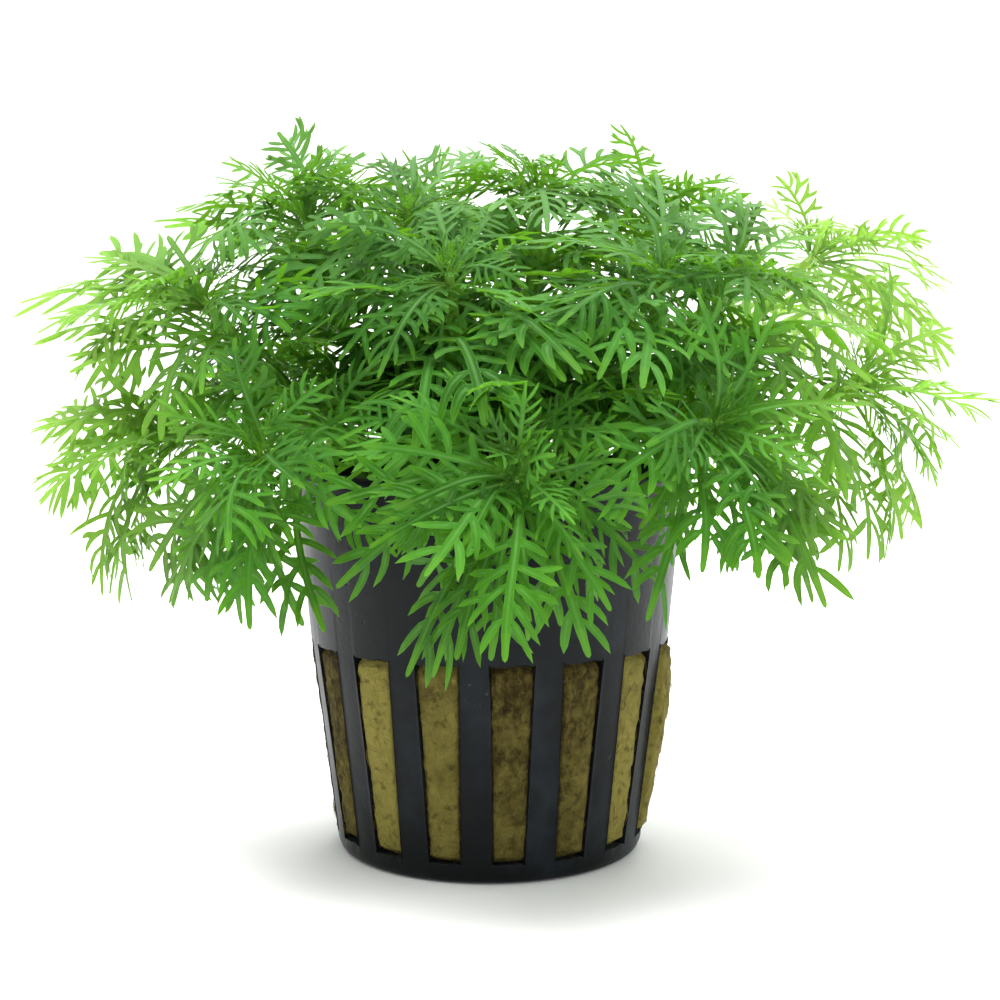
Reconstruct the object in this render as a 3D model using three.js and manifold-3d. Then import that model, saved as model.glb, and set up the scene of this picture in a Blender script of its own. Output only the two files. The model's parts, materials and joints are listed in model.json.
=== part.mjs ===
import * as THREE from 'three';
import Module from 'manifold-3d';
import { mergeVertices } from 'three/addons/utils/BufferGeometryUtils.js';

// A water violet in a black slotted net pot that is packed with rock wool.
// Millimetres, +Z up. The origin is the centre of the pot's underside, and -Y is the front.

// Net pot
const POT_HEIGHT = 50;
const POT_BASE_RADIUS = 20;
const POT_SHOULDER_RADIUS = 23.4;
const POT_RIM_RADIUS = 25.4;
const POT_LIP = 0.8;
const POT_LIP_HEIGHT = 1.3;
const POT_WALL = 1.1;
const POT_FLOOR = 2;
const POT_EDGE = 1.2;

// Slots round the lower part of the pot
const SLOT_COUNT = 16;
const SLOT_TURN = 6.7;
const SLOT_SHARE = 0.52;
const SLOT_BOTTOM = 2.6;
const SLOT_TOP = 27.8;

// Rock wool plug, with a pad of wool squeezed into each slot
const GAP = 0.3;
const WOOL_TOP = 47;
const WOOL_SLACK = 0.45;
const PAD_RECESS = 0.25;
const PAD_BULGE = 0.9;
const PAD_FOOT_SHARE = 0.8;
const BULGING_SLOT = 3;

// Stems
const STEM_RADIUS = 1.4;
const STEM_SIDES = 5;
const STEM_DEPTH = 4;
const STEM_COLLAR = 3;
const STEM_STEP = 10;
const FEWEST_STEPS = 3;
const HOLE_SLACK = 0.6;
const STEM_RISE = 0.42;
const STEM_REACH = 0.38;

// Leafy end of a shoot, measured back along its axis from the crown; tall shoots have the long one
const LEAFY_END = 11.2;
const LONG_LEAFY_END = 16;
const TIER_SPLIT = 5.6;
const TIER_MARGIN = 1;
const CORE_RADIUS = 1.3;
const CORE_RINGS = 3;

// Leaves
const GOLDEN_TURN = 137.5;
const LOW_LENGTH = 24;
const HIGH_LENGTH = 18;
const LOW_SPREAD = 86;
const HIGH_SPREAD = 62;
const SAG = 0.22;
const LOW_ARCH = 0.17;
const HIGH_ARCH = 0.12;
const ARCH_PLACE = 0.45;
const UPTURN = 0.6;
const RIB_WIDTH = 1.3;
const RIB_TIP_WIDTH = 0.6;
const RIB_HEIGHT = 0.8;
const RIB_CREST = 0.6;
const LOW_STALK = 0.22;
const HIGH_STALK = 0.14;
const BLADE_SHARE = 0.86;
const LOBE_PAIRS = 3;
const LOBE_SHARE = 0.32;
const LOBE_ANGLE = 46;
const LOBE_LIFT = 0.1;
const LOBE_TAPER = 0.5;
const FACET_REACH = 0.2;

// Finding a free place for a leaf: how often and how far its tip is moved, and the
// volume of overlap with another piece or with a leaf of its own tier that is let be
const TRIALS = 26;
const TRIAL_STEP = 0.5;
const SEEDS_PER_SHOOT = 40;
const SEEDS_PER_TIER = 20;
const CLEAR_VOLUME = 1e-4;
const SIBLING_VOLUME = 0.02;

// Each shoot: where its stem is planted, where its crown is, which way the crown leans
// (bearing from +X and height in degrees), where its best seen leaves end, and how many
// more leaves its golden-angle spiral adds to the lower and the upper tier.
const SHOOTS = [
  {
    name: 'front_high', tall: true, root: [-3, -8], crown: [-5, -12, 76], lean: [-95, 58], turn: 60, more: [3, 1],
    low: [[-9, -36, 53], [-1, -38, 57], [9, -34, 62], [14, -28, 61], [-22, -22, 71], [-28, -14, 69]],
    high: [[9, -28, 66], [17, -14, 70], [13, -2, 79], [2, 2, 83], [-7, 0, 84], [-20, -8, 79]],
  },
  {
    name: 'front_low', root: [2, -16], crown: [3, -37, 51], lean: [-90, -8], turn: 80, more: [0, 1],
    low: [[-17, -36, 39], [-9, -41, 30], [-2, -43, 33], [11, -40, 32], [16, -34, 43]],
    high: [[13, -40, 37], [-7, -47, 42], [2, -48, 33], [15, -38, 53], [4, -38, 62], [-14, -36, 55]],
  },
  {
    name: 'left_front', root: [-10, -12], crown: [-28, -25, 53], lean: [-130, 0], turn: 20, more: [0, 1],
    low: [[-19, -30, 33], [-27, -34, 34], [-37, -28, 36], [-41, -20, 39], [-17, -34, 51]],
    high: [[-38, -34, 49], [-40, -24, 59], [-30, -20, 66], [-18, -26, 62], [-28, -42, 44]],
  },
  {
    name: 'left_low', root: [-16, -4], crown: [-43, -6, 54], lean: [-168, -4], turn: 100, more: [0, 1],
    low: [[-47, -14, 35], [-55, -14, 46], [-48, -20, 46], [-42, 6, 40]],
    high: [[-58, -6, 55], [-58, 3, 50], [-51, 2, 64], [-43, -22, 50]],
  },
  {
    name: 'left_high', tall: true, root: [-11, 1], crown: [-38, -2, 73], lean: [-165, 50], turn: 0, more: [2, 1],
    low: [[-52, -10, 62], [-58, -4, 66], [-62, 4, 71], [-34, -22, 60], [-42, 16, 64]],
    high: [[-54, 6, 77], [-50, 14, 78], [-29, -18, 68], [-42, -20, 72], [-30, 4, 84]],
  },
  {
    name: 'left_back', tall: true, root: [-12, 8], crown: [-26, 16, 85], lean: [140, 66], turn: 45, more: [2, 1],
    low: [[-46, 22, 82], [-36, 36, 80], [-32, -2, 76], [-14, 32, 78]],
    high: [[-38, 24, 91], [-29, 29, 95], [-19, 26, 92], [-38, 6, 85]],
  },
  {
    name: 'middle', tall: true, root: [-4, 2], crown: [-11, 6, 84], lean: [-110, 72], turn: 30, more: [3, 1],
    low: [[-18, -14, 80], [-2, 24, 86], [-28, 4, 78]],
    high: [[-1, -7, 80], [-21, 4, 88], [-14, 21, 91]],
  },
  {
    name: 'top', tall: true, root: [3, 7], crown: [7, 17, 88], lean: [70, 76], turn: 10, more: [3, 1],
    low: [[20, 2, 82], [-8, 26, 86], [9, 40, 86]],
    high: [[19, 24, 92], [0, 4, 86], [-2, 22, 94], [13, 4, 85]],
  },
  {
    name: 'right_high', tall: true, root: [10, 0], crown: [32, -3, 76], lean: [-35, 60], turn: 75, more: [2, 1],
    low: [[52, -6, 66], [46, -16, 62], [24, -25, 66], [40, 18, 74]],
    high: [[47, 4, 74], [37, 12, 85], [20, -16, 72], [30, -24, 69], [38, -18, 70]],
  },
  {
    name: 'right_inner', tall: true, root: [5, -5], crown: [22, -10, 75], lean: [-70, 58], turn: 130, more: [3, 1],
    low: [[7, -26, 70], [17, -34, 61], [28, -27, 62]],
    high: [[22, 8, 80], [12, 6, 80], [13, -24, 76]],
  },
  {
    name: 'right_front', root: [11, -10], crown: [27, -26, 57], lean: [-62, 8], turn: 50, more: [0, 1],
    low: [[18, -35, 35], [23, -37, 41], [39, -30, 36], [40, -24, 44], [12, -32, 54]],
    high: [[29, -40, 40], [38, -33, 50], [17, -38, 55], [33, -24, 71], [24, -26, 72]],
  },
  {
    name: 'right_low', root: [17, -1], crown: [49, -2, 61], lean: [-4, 22], turn: 120, more: [0, 1],
    low: [[47, -12, 39], [52, -8, 41], [58, 4, 41], [46, -22, 56], [44, 18, 52]],
    high: [[65, 0, 56], [58, -13, 53], [60, 8, 64], [52, 2, 76]],
  },
  {
    name: 'right_back', tall: true, root: [14, 8], crown: [48, 24, 80], lean: [20, 44], turn: 0, more: [2, 1],
    low: [[65, 24, 61], [56, 10, 66], [38, 40, 68], [52, 42, 66]],
    high: [[67, 30, 73], [62, 20, 80], [40, 20, 89], [50, 38, 84]],
  },
  {
    name: 'back_low', root: [1, 17], crown: [0, 38, 53], lean: [90, -4], turn: 15, more: [4, 4],
    low: [], high: [],
  },
  {
    name: 'back_left', root: [-9, 14], crown: [-30, 30, 60], lean: [138, 12], turn: 95, more: [4, 4],
    low: [], high: [],
  },
  {
    name: 'back_right', root: [10, 14], crown: [30, 32, 57], lean: [42, 10], turn: 150, more: [4, 4],
    low: [], high: [],
  },
  {
    name: 'back_high', tall: true, root: [-3, 11], crown: [-8, 34, 82], lean: [100, 50], turn: 70, more: [6, 4],
    low: [], high: [],
  },
  {
    name: 'back_right_high', tall: true, root: [7, 11], crown: [24, 28, 85], lean: [50, 54], turn: 35, more: [6, 4],
    low: [], high: [],
  },
];

const finishes = {
  pot: { color: 0x262b2b, roughness: 0.38, metalness: 0 },
  wool: { color: 0x756b36, roughness: 0.95, metalness: 0 },
  stem: { color: 0x86b53a, roughness: 0.5, metalness: 0 },
  leaf: { color: 0x3f9130, roughness: 0.45, metalness: 0 },
};

const wasm = await Module();
wasm.setup();

const rad = THREE.MathUtils.degToRad;
const vector = (values) => new THREE.Vector3(...values);

// Repeatable chance between 0 and 1 for any three numbers.
function chance(a, b, c) {
  const wave = Math.sin(a * 12.9898 + b * 78.233 + c * 37.719) * 43758.5453;
  return wave - Math.floor(wave);
}

function toSolid(geometry) {
  const plain = geometry.index ? geometry.toNonIndexed() : geometry;
  plain.deleteAttribute('normal');
  plain.deleteAttribute('uv');
  const merged = mergeVertices(plain, 1e-4);
  const mesh = new wasm.Mesh({
    numProp: 3,
    vertProperties: new Float32Array(merged.attributes.position.array),
    triVerts: new Uint32Array(merged.index.array),
  });
  return new wasm.Manifold(mesh);
}

function toGeometry(solid) {
  const mesh = solid.getMesh();
  const geometry = new THREE.BufferGeometry();
  geometry.setAttribute('position', new THREE.BufferAttribute(new Float32Array(mesh.vertProperties), 3));
  geometry.setIndex(new THREE.BufferAttribute(new Uint32Array(mesh.triVerts), 1));
  geometry.computeVertexNormals();
  return geometry;
}

// A closed body from a list of facets, each three corners, anticlockwise from outside.
function closeFacets(facets) {
  const positions = facets.flatMap((corners) => corners.flatMap((corner) => corner.toArray()));
  const geometry = new THREE.BufferGeometry();
  geometry.setAttribute('position', new THREE.Float32BufferAttribute(positions, 3));
  return toSolid(geometry);
}

// Outer radius of the pot's wall at a height.
function wallRadius(height) {
  const lower = THREE.MathUtils.mapLinear(height, POT_EDGE, SLOT_TOP, POT_BASE_RADIUS, POT_SHOULDER_RADIUS);
  const upper = THREE.MathUtils.mapLinear(height, SLOT_TOP, POT_HEIGHT, POT_SHOULDER_RADIUS, POT_RIM_RADIUS);
  return height < SLOT_TOP ? lower : upper;
}

// Both edges of every slot as bearings from +X, each slot narrowed on both sides by a distance.
function slotEdges(narrowed) {
  const pitch = 360 / SLOT_COUNT;
  const half = rad(pitch * SLOT_SHARE / 2) - narrowed / POT_SHOULDER_RADIUS;
  return Array.from({ length: SLOT_COUNT }, (_, slot) => rad(SLOT_TURN - 90 + slot * pitch))
    .flatMap((middle) => [middle - half, middle + half]);
}

const onRing = (radius, height, bearing) => new THREE.Vector3(
  radius * Math.cos(bearing),
  radius * Math.sin(bearing),
  height,
);

// A turned body with one facet between each two bearings, closed by a flat face at the first
// and the last ring of its profile. Even sectors are slots, and `bare` says which of their
// facets are left out.
function makeRings(profile, bearings, bare) {
  const sectors = bearings.length;
  const points = profile.flatMap(([radius, height]) => bearings
    .map((bearing) => onRing(radius, height, bearing)));
  const at = (ring, sector) => ring * sectors + sector % sectors;
  const quads = [];
  for (let ring = 0; ring < profile.length - 1; ring += 1) {
    for (let sector = 0; sector < sectors; sector += 1) {
      if (sector % 2 === 1 || !bare.includes(ring)) {
        quads.push([at(ring, sector), at(ring, sector + 1), at(ring + 1, sector + 1), at(ring + 1, sector)]);
      }
    }
  }
  const top = profile.length - 1;
  const caps = Array.from({ length: sectors - 2 }, (_, step) => [
    [at(0, 0), at(0, step + 2), at(0, step + 1)],
    [at(top, 0), at(top, step + 1), at(top, step + 2)],
  ]).flat();
  return { points, at, quads, caps };
}

function joinRings({ points, quads, caps }) {
  const halves = quads.flatMap(([a, b, c, d]) => [[a, b, c], [a, c, d]]);
  return closeFacets([...caps, ...halves].map((corners) => corners.map((corner) => points[corner])));
}

// The four facets round a hole or a block that reaches from one facet to another.
function frame(near, far) {
  return near.map((corner, index) => {
    const next = (index + 1) % 4;
    return [corner, near[next], far[next], far[index]];
  });
}

function makePot() {
  const slottedOutside = 2;
  const slottedInside = 8;
  const rings = makeRings([
    [POT_BASE_RADIUS - POT_EDGE, 0],
    [POT_BASE_RADIUS, POT_EDGE],
    [wallRadius(SLOT_BOTTOM), SLOT_BOTTOM],
    [POT_SHOULDER_RADIUS, SLOT_TOP],
    [wallRadius(POT_HEIGHT - POT_LIP_HEIGHT), POT_HEIGHT - POT_LIP_HEIGHT],
    [POT_RIM_RADIUS + POT_LIP, POT_HEIGHT - POT_LIP_HEIGHT + GAP],
    [POT_RIM_RADIUS + POT_LIP, POT_HEIGHT],
    [POT_RIM_RADIUS - POT_WALL, POT_HEIGHT],
    [POT_SHOULDER_RADIUS - POT_WALL, SLOT_TOP],
    [wallRadius(SLOT_BOTTOM) - POT_WALL, SLOT_BOTTOM],
    [wallRadius(POT_FLOOR) - POT_WALL, POT_FLOOR],
  ], slotEdges(0), [slottedOutside, slottedInside]);
  for (let sector = 0; sector < 2 * SLOT_COUNT; sector += 2) {
    const outer = [rings.at(slottedOutside, sector), rings.at(slottedOutside, sector + 1),
      rings.at(slottedOutside + 1, sector + 1), rings.at(slottedOutside + 1, sector)];
    const inner = [rings.at(slottedInside + 1, sector), rings.at(slottedInside + 1, sector + 1),
      rings.at(slottedInside, sector + 1), rings.at(slottedInside, sector)];
    rings.quads.push(...frame(outer, inner));
  }
  return joinRings(rings);
}

function makeWool() {
  const slack = POT_WALL + WOOL_SLACK;
  const foot = SLOT_BOTTOM + GAP;
  const head = SLOT_TOP - GAP;
  const bearings = slotEdges(GAP);
  const rings = makeRings([
    [wallRadius(POT_FLOOR) - slack, POT_FLOOR + GAP],
    [wallRadius(foot) - slack, foot],
    [wallRadius(head) - slack, head],
    [wallRadius(WOOL_TOP) - slack, WOOL_TOP],
  ], bearings, [1]);
  for (let slot = 0; slot < SLOT_COUNT; slot += 1) {
    const proud = slot === BULGING_SLOT ? PAD_BULGE : -PAD_RECESS;
    const [left, right] = bearings.slice(2 * slot, 2 * slot + 2);
    const first = rings.points.length;
    const pad = [first, first + 1, first + 2, first + 3];
    const root = [rings.at(1, 2 * slot), rings.at(1, 2 * slot + 1),
      rings.at(2, 2 * slot + 1), rings.at(2, 2 * slot)];
    rings.points.push(
      onRing(wallRadius(foot) + proud * PAD_FOOT_SHARE, foot, left),
      onRing(wallRadius(foot) + proud * PAD_FOOT_SHARE, foot, right),
      onRing(wallRadius(head) + proud, head, right),
      onRing(wallRadius(head) + proud, head, left),
    );
    rings.quads.push(pad, ...frame(root, pad));
  }
  return joinRings(rings);
}

// Direction of a shoot's axis at its crown.
function leanOf(shoot) {
  const [bearing, height] = shoot.lean.map(rad);
  return new THREE.Vector3(
    Math.cos(bearing) * Math.cos(height),
    Math.sin(bearing) * Math.cos(height),
    Math.sin(height),
  );
}

const leafyEnd = (shoot) => (shoot.tall ? LONG_LEAFY_END : LEAFY_END);

function onAxis(shoot, back) {
  return vector(shoot.crown).addScaledVector(leanOf(shoot), -back);
}

// The bare stem's route: straight up out of the wool, then over in one sweep to the leafy end.
function stemRoute(shoot) {
  const [x, y] = shoot.root;
  const foot = new THREE.Vector3(x, y, WOOL_TOP - STEM_DEPTH);
  const collar = new THREE.Vector3(x, y, WOOL_TOP + STEM_COLLAR);
  const end = onAxis(shoot, leafyEnd(shoot) + GAP);
  const span = collar.distanceTo(end);
  const rise = collar.clone().setZ(collar.z + span * STEM_RISE);
  const reach = end.clone().addScaledVector(leanOf(shoot), -span * STEM_REACH);
  const route = new THREE.CurvePath();
  route.add(new THREE.LineCurve3(foot, collar));
  route.add(new THREE.CubicBezierCurve3(collar, rise, reach, end));
  return route;
}

function roundSection(radius, sides) {
  const corners = Array.from({ length: sides }, (_, side) => new THREE.Vector2(
    radius * Math.cos(2 * Math.PI * side / sides),
    radius * Math.sin(2 * Math.PI * side / sides),
  ));
  return new THREE.Shape(corners);
}

function makeStem(shoot) {
  const route = stemRoute(shoot);
  const steps = Math.max(FEWEST_STEPS, Math.round(route.getLength() / STEM_STEP));
  return toSolid(new THREE.ExtrudeGeometry(roundSection(STEM_RADIUS, STEM_SIDES), {
    steps, extrudePath: route, bevelEnabled: false,
  }));
}

function makeHole(shoot) {
  const [x, y] = shoot.root;
  const depth = STEM_DEPTH + GAP + STEM_COLLAR;
  const hole = new THREE.ExtrudeGeometry(roundSection(STEM_RADIUS + HOLE_SLACK, STEM_SIDES), {
    depth, bevelEnabled: false,
  });
  return toSolid(hole.translate(x, y, WOOL_TOP - STEM_DEPTH - GAP));
}

// A short straight piece of the shoot's axis, whose small facets each can carry one leaf.
function makeCore(shoot, from, to) {
  const axis = leanOf(shoot);
  const side = new THREE.Vector3(0, 0, 1).cross(axis).normalize();
  const up = axis.clone().cross(side);
  const points = [];
  for (let ring = 0; ring < CORE_RINGS; ring += 1) {
    const centre = onAxis(shoot, THREE.MathUtils.lerp(from, to, ring / (CORE_RINGS - 1)));
    for (let corner = 0; corner < STEM_SIDES; corner += 1) {
      const angle = 2 * Math.PI * (corner + ring / 2) / STEM_SIDES;
      points.push(centre.clone().addScaledVector(side, CORE_RADIUS * Math.cos(angle))
        .addScaledVector(up, CORE_RADIUS * Math.sin(angle)));
    }
  }
  const at = (ring, corner) => ring * STEM_SIDES + corner % STEM_SIDES;
  const triangles = [];
  for (let ring = 0; ring < CORE_RINGS - 1; ring += 1) {
    for (let corner = 0; corner < STEM_SIDES; corner += 1) {
      triangles.push([at(ring, corner), at(ring, corner + 1), at(ring + 1, corner)]);
      triangles.push([at(ring, corner + 1), at(ring + 1, corner + 1), at(ring + 1, corner)]);
    }
  }
  const end = CORE_RINGS - 1;
  for (let corner = 1; corner < STEM_SIDES - 1; corner += 1) {
    triangles.push([at(0, 0), at(0, corner + 1), at(0, corner)]);
    triangles.push([at(end, 0), at(end, corner), at(end, corner + 1)]);
  }
  return triangles.map((corners) => corners.map((corner) => points[corner]));
}

// Where the leaf at one place of the golden-angle spiral ends.
function spiralTip(shoot, base, place, high) {
  const axis = leanOf(shoot);
  const side = new THREE.Vector3(0, 0, 1).cross(axis).normalize();
  const up = axis.clone().cross(side);
  const turn = rad(shoot.turn + place * GOLDEN_TURN);
  const spread = rad(high ? HIGH_SPREAD : LOW_SPREAD);
  const length = high ? HIGH_LENGTH : LOW_LENGTH;
  return base.clone()
    .addScaledVector(side, length * Math.sin(spread) * Math.cos(turn))
    .addScaledVector(up, length * Math.sin(spread) * Math.sin(turn))
    .addScaledVector(axis, length * Math.cos(spread))
    .setZ(base.z + length * (Math.sin(spread) * Math.sin(turn) * up.z + Math.cos(spread) * axis.z - SAG));
}

// Everything that places one leaf: its base on the axis, its tip, and the arch between them.
// Each trial after the first moves the tip a little further from its place.
function placeLeaf(shoot, number, place, high, trial) {
  const tips = high ? shoot.high : shoot.low;
  const count = tips.length + shoot.more[high ? 1 : 0];
  const first = (high ? TIER_SPLIT : leafyEnd(shoot)) - TIER_MARGIN;
  const last = (high ? 0 : TIER_SPLIT) + TIER_MARGIN;
  const axis = leanOf(shoot);
  const foot = onAxis(shoot, first + (last - first) * place / Math.max(1, count - 1));
  const tip = place < tips.length ? vector(tips[place]) : spiralTip(shoot, foot, place, high);
  const seed = number * SEEDS_PER_SHOOT + place + (high ? SEEDS_PER_TIER : 0);
  const drift = new THREE.Vector3(
    chance(seed, trial, 1) - 0.5,
    chance(seed, trial, 2) - 0.5,
    chance(seed, trial, 3) - 0.5,
  ).normalize();
  tip.addScaledVector(drift, trial * TRIAL_STEP);
  const outwards = tip.clone().sub(foot);
  outwards.addScaledVector(axis, -outwards.dot(axis)).normalize();
  const base = foot.addScaledVector(outwards, CORE_RADIUS);
  const chord = tip.clone().sub(base);
  const length = chord.length();
  const facing = axis.clone().add(new THREE.Vector3(0, 0, UPTURN));
  const lift = facing.clone().addScaledVector(chord, -facing.dot(chord) / chord.lengthSq()).normalize();
  const middle = base.clone().addScaledVector(chord, ARCH_PLACE)
    .addScaledVector(lift, 2 * length * (high ? HIGH_ARCH : LOW_ARCH));
  return { rib: new THREE.QuadraticBezierCurve3(base, middle, tip), facing, length, base, tip };
}

// The facet of the core that points most nearly at the leaf's tip from beside its base.
function facetFor(core, leaf) {
  let best = null;
  let bestScore = -Infinity;
  core.forEach((corners) => {
    const face = new THREE.Triangle(...corners);
    const centre = face.getMidpoint(new THREE.Vector3());
    const way = leaf.tip.clone().sub(centre).normalize();
    const score = face.getNormal(new THREE.Vector3()).dot(way) - centre.distanceTo(leaf.base) * FACET_REACH;
    if (score > bestScore) {
      best = corners;
      bestScore = score;
    }
  });
  return best;
}

// The facet's corners in the order top, left, right of the rib's section.
function rootSection(facet, upwards) {
  const heights = facet.map((corner) => corner.dot(upwards));
  const top = heights.indexOf(Math.max(...heights));
  return [facet[top], facet[(top + 2) % 3], facet[(top + 1) % 3]];
}

// The leaf as a bent rib of triangular section that grows out of a facet of the core. Each
// stretch of its blade is drawn out on both sides into a pointed lobe that sweeps forwards.
function makeLeaf({ rib, facing, length }, facet, stalk) {
  const shares = [stalk];
  for (let pair = 1; pair <= LOBE_PAIRS; pair += 1) {
    shares.push(stalk + (BLADE_SHARE - stalk) * pair / LOBE_PAIRS);
  }
  const stations = shares.map((share) => {
    const ahead = rib.getTangent(share);
    const top = facing.clone().addScaledVector(ahead, -facing.dot(ahead)).normalize();
    return { centre: rib.getPoint(share), ahead, top, side: ahead.clone().cross(top) };
  });
  const sections = stations.map(({ centre, top, side }, station) => {
    const width = THREE.MathUtils.lerp(RIB_WIDTH, RIB_TIP_WIDTH, shares[station]);
    const height = RIB_HEIGHT * width / RIB_WIDTH;
    return [
      centre.clone().addScaledVector(top, height * RIB_CREST),
      centre.clone().addScaledVector(side, -width / 2).addScaledVector(top, height * (RIB_CREST - 1)),
      centre.clone().addScaledVector(side, width / 2).addScaledVector(top, height * (RIB_CREST - 1)),
    ];
  });
  const root = rootSection(facet, stations[0].top);
  const facets = [0, 1, 2].flatMap((corner) => {
    const next = (corner + 1) % 3;
    return [
      [root[corner], sections[0][corner], sections[0][next]],
      [root[corner], sections[0][next], root[next]],
    ];
  });
  for (let pair = 0; pair < LOBE_PAIRS; pair += 1) {
    const [top, left, right] = sections[pair];
    const [nextTop, nextLeft, nextRight] = sections[pair + 1];
    facets.push([left, nextLeft, nextRight], [left, nextRight, right]);
    const lobe = length * LOBE_SHARE * (1 - LOBE_TAPER * Math.abs((pair + 0.5) / LOBE_PAIRS - 0.5));
    const { ahead, top: upwards, side } = stations[pair];
    const centre = stations[pair].centre.clone().lerp(stations[pair + 1].centre, 0.5);
    [[-1, [top, nextTop, nextLeft, left]], [1, [right, nextRight, nextTop, top]]].forEach(([way, ring]) => {
      const end = centre.clone()
        .addScaledVector(ahead, lobe * Math.cos(rad(LOBE_ANGLE)))
        .addScaledVector(side, way * lobe * Math.sin(rad(LOBE_ANGLE)))
        .addScaledVector(upwards, lobe * LOBE_LIFT);
      ring.forEach((corner, index) => facets.push([corner, ring[(index + 1) % 4], end]));
    });
  }
  const last = sections[LOBE_PAIRS];
  [0, 1, 2].forEach((corner) => facets.push([last[corner], rib.getPoint(1), last[(corner + 1) % 3]]));
  return { facets, stopper: root };
}

const built = [];

function boxOf(solid) {
  const { min, max } = solid.boundingBox();
  return new THREE.Box3(vector(min), vector(max));
}

function meets(piece, others, volume) {
  return others.some((other) => other.box.intersectsBox(piece.box)
    && piece.solid.intersect(other.solid).volume() > volume);
}

function keep(name, solid, finish) {
  built.push({ name, solid, finish, box: boxOf(solid) });
}

// One tier: its core with every leaf that finds a free place, nearest to its own place first.
function growTier(shoot, number, high) {
  const name = `${shoot.name}_${high ? 'crown' : 'leaves'}`;
  const own = built.find((piece) => piece.name === name);
  const others = built.filter((piece) => piece !== own);
  const blades = [];
  const tips = high ? shoot.high : shoot.low;
  const count = tips.length + shoot.more[high ? 1 : 0];
  let { facets } = own;
  for (let place = 0; place < count; place += 1) {
    for (let trial = 0; trial < TRIALS; trial += 1) {
      const leaf = placeLeaf(shoot, number, place, high, trial);
      const facet = facetFor(own.core, leaf);
      const shape = makeLeaf(leaf, facet, high ? HIGH_STALK : LOW_STALK);
      const solid = closeFacets([...shape.facets, shape.stopper]);
      const blade = { solid, box: boxOf(solid) };
      if (!meets(blade, others, CLEAR_VOLUME) && !meets(blade, blades, SIBLING_VOLUME)) {
        own.core = own.core.filter((corners) => corners !== facet);
        facets = [...facets.filter((corners) => corners !== facet), ...shape.facets];
        blades.push(blade);
        break;
      }
    }
  }
  own.facets = facets;
  own.solid = closeFacets(facets);
  own.box = boxOf(own.solid);
}

function keepCore(shoot, tier, from, to) {
  const core = makeCore(shoot, from, to);
  keep(`${shoot.name}_${tier}`, closeFacets(core), 'leaf');
  const sides = core.slice(0, 2 * STEM_SIDES * (CORE_RINGS - 1));
  Object.assign(built.at(-1), { facets: core, core: sides });
}

let wool = makeWool();
SHOOTS.forEach((shoot) => {
  wool = wool.subtract(makeHole(shoot));
});
keep('pot', makePot(), 'pot');
keep('rock_wool', wool, 'wool');
SHOOTS.forEach((shoot) => {
  keep(`${shoot.name}_stem`, makeStem(shoot), 'stem');
  keepCore(shoot, 'leaves', leafyEnd(shoot), TIER_SPLIT + GAP / 2);
  keepCore(shoot, 'crown', TIER_SPLIT - GAP / 2, 0);
});
[false, true].forEach((high) => SHOOTS.forEach((shoot, number) => growTier(shoot, number, high)));

const plant = new THREE.Group();
built.forEach(({ name, solid, finish }) => {
  const mesh = new THREE.Mesh(toGeometry(solid), new THREE.MeshStandardMaterial(finishes[finish]));
  mesh.name = name;
  plant.add(mesh);
});

export default plant;
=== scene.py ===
"""The looks of a potted water violet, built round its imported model.

Lengths are in metres, +Z is up and -Y is the front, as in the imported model. The plant's own
tables are in millimetres and are turned into metres where they are read.
"""

import json
import math
import random

import bmesh
import bpy
from bpy.props import FloatProperty, FloatVectorProperty, IntProperty, PointerProperty
from mathutils import Euler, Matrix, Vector
from mathutils.kdtree import KDTree

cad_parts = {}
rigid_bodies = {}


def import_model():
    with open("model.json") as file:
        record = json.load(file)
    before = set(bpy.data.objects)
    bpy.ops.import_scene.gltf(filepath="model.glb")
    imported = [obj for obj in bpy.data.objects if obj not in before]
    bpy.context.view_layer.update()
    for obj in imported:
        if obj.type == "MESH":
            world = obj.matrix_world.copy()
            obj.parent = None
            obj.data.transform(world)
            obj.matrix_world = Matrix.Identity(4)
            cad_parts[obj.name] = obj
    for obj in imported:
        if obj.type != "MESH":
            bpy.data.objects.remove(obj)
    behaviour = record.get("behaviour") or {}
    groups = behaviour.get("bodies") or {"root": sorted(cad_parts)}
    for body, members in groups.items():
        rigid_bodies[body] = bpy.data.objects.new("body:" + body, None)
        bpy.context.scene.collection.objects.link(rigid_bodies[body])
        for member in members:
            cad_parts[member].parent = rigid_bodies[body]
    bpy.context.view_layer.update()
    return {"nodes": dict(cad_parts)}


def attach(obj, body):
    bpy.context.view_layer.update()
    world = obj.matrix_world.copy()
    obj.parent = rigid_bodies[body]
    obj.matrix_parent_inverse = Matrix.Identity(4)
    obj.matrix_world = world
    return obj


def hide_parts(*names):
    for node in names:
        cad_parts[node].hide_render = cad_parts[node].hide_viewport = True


bl_info = {
    "name": "Potted Water Violet",
    "version": (1, 0, 0),
    "blender": (4, 5, 0),
    "location": "View3D > Sidebar > Water Violet",
    "description": "Builds a water violet in a slotted net pot round its packed model",
    "category": "Add Mesh",
}

for spare in list(bpy.data.objects):
    bpy.data.objects.remove(spare)
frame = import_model()

MM = 0.001
UP = Vector((0.0, 0.0, 1.0))
FRONT = Vector((0.0, -1.0, 0.0))

# The net pot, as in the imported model
POT_HEIGHT = 50 * MM
POT_BASE_RADIUS = 20 * MM
POT_SHOULDER_RADIUS = 23.4 * MM
POT_RIM_RADIUS = 25.4 * MM
POT_LIP = 0.8 * MM
POT_LIP_HEIGHT = 1.3 * MM
POT_WALL = 1.1 * MM
POT_FLOOR = 2 * MM
POT_EDGE = 1.2 * MM
SLOT_COUNT = 16
SLOT_TURN = 6.7
SLOT_SHARE = 0.52
SLOT_BOTTOM = 2.6 * MM
SLOT_TOP = 27.8 * MM
BULGING_SLOT = 3

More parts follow.
